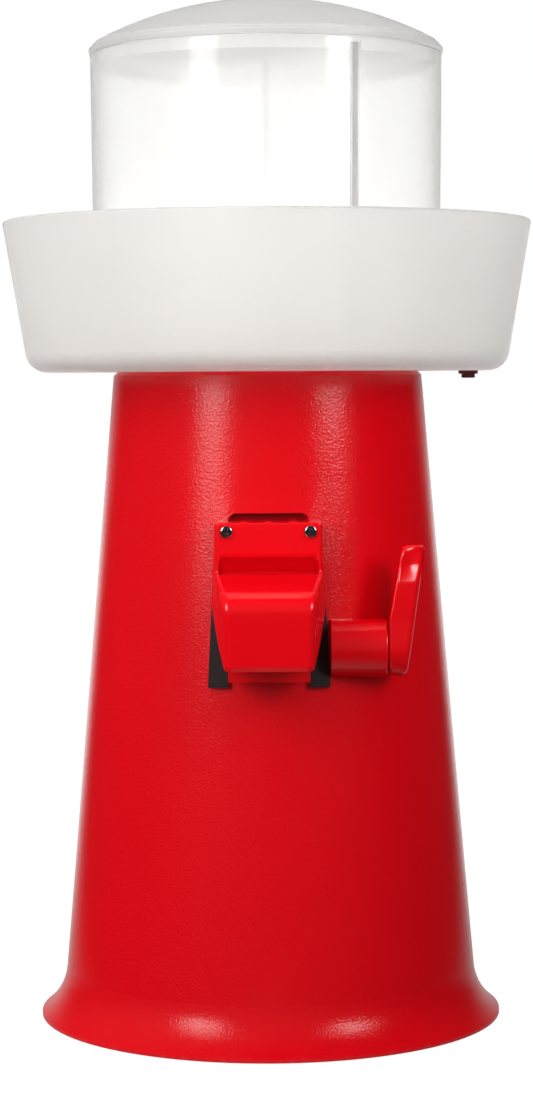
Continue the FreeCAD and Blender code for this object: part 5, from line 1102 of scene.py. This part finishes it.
@dataclass
class IceTub:
    """Frosted tub, its seals and the drain stopper."""

    def build(self) -> None:
        """Dress the tub and make the stopper."""
        dress("ice_tub", "tub_seals")
        self.stopper()

    def stopper(self) -> None:
        """Rubber stopper: knob, flange and shank, turned about its own axis."""
        low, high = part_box("drain_plug")
        x, flange_r = (low.x + high.x) / 2, (high.x - low.x) / 2
        knob_r, shank_r = 4.15 * MM, 3.5 * MM
        knob, flange, height = 2.3 * MM, 4.2 * MM, high.z - low.z
        corners = [(0, 0.5 * MM), (knob_r * 0.6, 0), (knob_r, 0), (knob_r * 0.86, knob),
                   (flange_r, knob), (flange_r, flange), (shank_r, flange), (shank_r, height - 1.2 * MM),
                   (2.3 * MM, height), (0, height)]
        radii = [0.6 * MM, 0.9 * MM, 0.5 * MM, 0.6 * MM, 0.3 * MM, 0.2 * MM, 0.5 * MM, 0.5 * MM]
        surface = Surface("drain_stopper")
        surface.turn(rounded(corners, radii), (x, 0, low.z))
        surface.piece("drain_plug", Slot.RED_RUBBER, "drain_plug")


DIVIDERS = (-60.0, 60.0, 120.0)


@dataclass
class Reservoir:
    """Clear cup with three chambers, each with an outlet spigot."""

    wall: float = 2.6 * MM
    draft: float = math.radians(0.5)
    floor: float = 3.0 * MM
    foot: float = 11.4 * MM
    divider_drop: float = 3.0 * MM
    divider_top: float = 1.5 * MM
    divider_foot: float = 2.0 * MM
    corner_r: float = 3.2 * MM
    floor_r: float = 2.6 * MM
    outlets: tuple = ((40 * MM, -23 * MM), (0.0, 24 * MM), (-40 * MM, -23 * MM))
    spigot_r: float = 7.6 * MM
    bore_r: float = 4.5 * MM
    spigot: float = 10.5 * MM
    arc_steps: tuple[int, int, int] = (72, 36, 108)

    def build(self) -> None:
        """Make the cup and dress its seals."""
        dress("spigot_seals")
        low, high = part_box("reservoir")
        self.low_z, self.top_z, self.top_r = low.z, high.z, high.x
        self.floor_z = self.low_z + self.foot
        surface = Surface("chambered_reservoir")
        top_z = self.top_z - self.divider_drop
        rims = [self.chamber(i, top_z, 0.0) for i in range(3)]
        angles = self.columns(rims)
        surface.grid(turned(self.outside(), angles), wrap=True)
        surface.fill(self.flat(self.divider_loop(rims, self.inner_r(top_z)), top_z))
        holes = []
        for i, outlet in enumerate(self.outlets):
            rows = self.chamber_rows(i)
            surface.grid(rows, wrap=True)
            spigot = turned(self.spigot_profile(), np.linspace(0, 2 * np.pi, 48, endpoint=False))
            spigot = spigot + np.array([*outlet, 0.0])
            surface.grid(spigot, wrap=True)
            surface.fill(rows[-1], spigot[0])
            holes.append(spigot[-1])
        surface.fill(turned(self.outside(), angles)[-1], *holes)
        surface.piece("reservoir", Slot.CLEAR, "reservoir", sharp=40)

    def outer_r(self, z: np.ndarray) -> np.ndarray:
        """Radius of the outer wall at a height."""
        return self.top_r - (self.top_z - z) * math.tan(self.draft)

    def inner_r(self, z: np.ndarray) -> np.ndarray:
        """Radius of the inner wall at a height."""
        return self.outer_r(z) - self.wall / math.cos(self.draft)

    def divider_half(self, z: float) -> float:
        """Half thickness of the dividing walls at a height, even from foot to top."""
        share = (z - self.floor_z) / (self.top_z - self.divider_drop - self.floor_z)
        return self.divider_foot + (self.divider_top - self.divider_foot) * share

    def outside(self) -> np.ndarray:
        """Profile over the rim, down the outside, round the foot and in under the floor."""
        top, low = self.top_z, self.low_z
        corners = [(self.inner_r(top - self.divider_drop), top - self.divider_drop), (self.inner_r(top), top),
                   (self.outer_r(top), top), (self.outer_r(low), low), (self.inner_r(low), low),
                   (self.inner_r(self.floor_z), self.floor_z),
                   (self.inner_r(self.floor_z) - 4 * MM, self.floor_z)]
        return rounded(corners, [1.2 * MM, 0.9 * MM, 1.0 * MM, 0.8 * MM, 1.5 * MM])

    def chamber(self, index: int, z: float, inset: float) -> np.ndarray:
        """Outline of a chamber at a height: wall arc, dividing walls, and a round in each corner.

        A corner's circle of radius f touches the wall circle R and a line h from the axis, so its
        centre is R - f from the axis and h + f from the divider's middle plane.

        Args:
            index: Number of the chamber.
            z: Height.
            inset: How far the outline is moved inward, as in the floor's rounding.

        Returns:
            Points (x, y), anticlockwise, with the wall arc first.
        """
        start, end = np.radians((*DIVIDERS, DIVIDERS[0] + 360)[index:index + 2])
        wall = self.inner_r(z) - inset
        half = self.divider_half(z) + inset
        f = max(self.corner_r - inset, 0.4 * MM)
        along = math.sqrt((wall - f) ** 2 - (half + f) ** 2)
        lean = math.atan2(half + f, along)
        arc = arc_points((0, 0), wall, start + lean, end - lean, self.arc_steps[index])

        def corner(angle: float, sign: int) -> np.ndarray:
            """Centre of the round between the wall and one side of a divider."""
            ray = np.array([math.cos(angle), math.sin(angle)])
            return along * ray + (half + f) * (sign * np.array([-ray[1], ray[0]]))

        far, near = corner(end, -1), corner(start, 1)
        steps = 8
        out_far = arc_points(far, f, end - lean, end + np.pi / 2, steps)[1:]
        out_near = arc_points(near, f, start - np.pi / 2, start + lean, steps)[:-1]
        middle = (start + end) / 2
        reach = (half + f) / math.sin((end - start) / 2)
        hub = (reach * math.cos(middle), reach * math.sin(middle))
        centre = arc_points(hub, f, end + np.pi / 2, start + 3 * np.pi / 2, steps)
        shares = np.linspace(0, 1, 14)[1:-1, None]
        inward = out_far[-1] + shares * (centre[0] - out_far[-1])
        outward = centre[-1] + shares * (out_near[0] - centre[-1])
        return np.concatenate([arc, out_far, inward, centre, outward, out_near])

    def chamber_rows(self, index: int) -> np.ndarray:
        """Wall of a chamber from its top edge down round the floor's edge."""
        heights = np.linspace(self.top_z - self.divider_drop, self.floor_z + self.floor + self.floor_r, 20)
        rows = [self.flat(self.chamber(index, z, 0.0), z) for z in heights]
        for turn in np.linspace(0, np.pi / 2, 7)[1:]:
            inset = self.floor_r * (1 - math.cos(turn))
            z = self.floor_z + self.floor + self.floor_r * (1 - math.sin(turn))
            rows.append(self.flat(self.chamber(index, z, inset), z))
        return np.stack(rows)

    @staticmethod
    def flat(outline: np.ndarray, z: float) -> np.ndarray:
        """Outline (x, y) put at a height."""
        return np.concatenate([outline, np.full((len(outline), 1), z)], 1)

    def columns(self, rims: list[np.ndarray]) -> np.ndarray:
        """Angles of the cup's columns: those of the chambers' wall arcs, and some across each divider."""
        angles = []
        for index, rim in enumerate(rims):
            steps = self.arc_steps[index]
            ends = [math.atan2(*rim[i][::-1]) for i in (0, steps)]
            start = ends[0]
            end = start + (ends[1] - start) % (2 * np.pi)
            angles.append(np.linspace(start, end, steps + 1))
            gap = (math.atan2(*rims[(index + 1) % 3][0][::-1]) - end) % (2 * np.pi)
            angles.append(end + gap * np.linspace(0, 1, 7)[1:-1])
        return np.concatenate(angles)

    def divider_loop(self, rims: list[np.ndarray], wall: float) -> np.ndarray:
        """Outline of the three dividing walls' tops, joined in the middle and to the wall's circle."""
        parts = []
        for index in (2, 1, 0):
            steps = self.arc_steps[index]
            parts.append(rims[index][steps:])
            parts.append(rims[index][:1])
            before = (index + 2) % 3
            last = math.atan2(*rims[index][0][::-1])
            gap = (last - math.atan2(*rims[before][self.arc_steps[before]][::-1])) % (2 * np.pi)
            parts.append(arc_points((0, 0), wall, last, last - gap, 6)[1:-1])
        return np.concatenate(parts)

    def spigot_profile(self) -> np.ndarray:
        """Profile down the bore, round the tip and up outside past the seal's groove."""
        floor, tip = self.floor_z + self.floor, self.floor_z - self.spigot
        ring = self.floor_z - self.spigot / 2
        half, depth = 1.1 * MM, 1.35 * MM
        groove_r = self.spigot_r - depth
        corners = [(self.bore_r + 0.8 * MM, floor), (self.bore_r, floor), (self.bore_r, tip),
                   (self.spigot_r, tip), (self.spigot_r, ring - half), (groove_r, ring - half),
                   (groove_r, ring + half), (self.spigot_r, ring + half), (self.spigot_r, self.floor_z)]
        return rounded(corners, [0.6 * MM, 0.4 * MM, 0.5 * MM, 0.1 * MM, 0.2 * MM, 0.2 * MM, 0.1 * MM])


@dataclass
class Lid:
    """Low dome with a stepped rim, and a notched ring that clears the dividing walls."""

    crease: float = 6.2 * MM
    wall: float = 2.4 * MM
    ring_depth: float = 7.0 * MM
    ring_wall: float = 1.8 * MM
    ring_r: float = 94.9 * MM
    notch_half: float = 3.0 * MM
    notch_top: float = 1.5 * MM
    notch_slant: float = 2e-4

    def build(self) -> None:
        """Make the lid.

        The dome is a sphere's cap through the crease and the apex, and the inside is the same
        sphere less the wall. In each notch the ring's rows are raised to the notch's top.
        """
        low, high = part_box("lid")
        rim_z, top_z, r = low.z + self.ring_depth, high.z, high.x
        crease_r, crease_z = r - 3.4 * MM, rim_z + self.crease
        rise = top_z - crease_z
        ball = (crease_r ** 2 + rise ** 2) / (2 * rise)
        centre_z = top_z - ball
        spread = math.asin(crease_r / ball)
        dome = arc_points((0, centre_z), ball, np.pi / 2, np.pi / 2 - spread, 40)
        ring_in = self.ring_r - self.ring_wall
        inner = ball - self.wall
        inner_spread = math.asin(ring_in / inner)
        vault = arc_points((0, centre_z), inner, np.pi / 2 - inner_spread, np.pi / 2, 40)
        corners = [dome[-2], dome[-1], (crease_r + 0.1 * MM, crease_z - 1.1 * MM),
                   (r - 1.9 * MM, crease_z - 1.3 * MM), (r - 1.5 * MM, crease_z - 2.9 * MM),
                   (r - 0.1 * MM, crease_z - 3.2 * MM), (r, rim_z), (self.ring_r, rim_z),
                   (self.ring_r, rim_z - self.ring_depth), (ring_in, rim_z - self.ring_depth),
                   vault[0], vault[1]]
        radii = [0.5, 0.3, 0.8, 0.3, 0.7, 0.5, 0.4, 0.4, 0.4, 1.2]
        edge = rounded(corners, [value * MM for value in radii])
        profile = np.concatenate([dome[:-2], edge, vault[2:]])
        profile[0, 0] = profile[-1, 0] = 0.0
        half = self.notch_half / self.ring_r
        sides = [np.radians(a) + side * half + shift for a in DIVIDERS for side in (-1, 1)
                 for shift in (-self.notch_slant, self.notch_slant)]
        angles = np.sort(np.concatenate([np.linspace(-np.pi, np.pi, 240, endpoint=False), sides]))
        grid = turned(profile, angles)
        off = np.min([np.abs((angles - math.radians(a) + np.pi) % (2 * np.pi) - np.pi)
                      for a in DIVIDERS], axis=0)
        notch = rim_z - self.notch_top
        grid[..., 2] = np.where(off[None] < half, np.maximum(grid[..., 2], notch), grid[..., 2])
        surface = Surface("domed_lid")
        surface.grid(grid, wrap=True)
        surface.piece("lid", Slot.LID, "lid", sharp=40)


def main() -> None:
    """Build the room and the dispenser."""
    logging.basicConfig(level=logging.INFO, format="%(message)s")
    bpy.context.scene.view_settings.view_transform = "Standard"
    for part in (Studio(), Stand(), Tap(), Pump(), IceTub(), Reservoir(), Lid()):
        part.build()
        log.info("%s built", type(part).__name__)


if __name__ == "__main__":
    main()
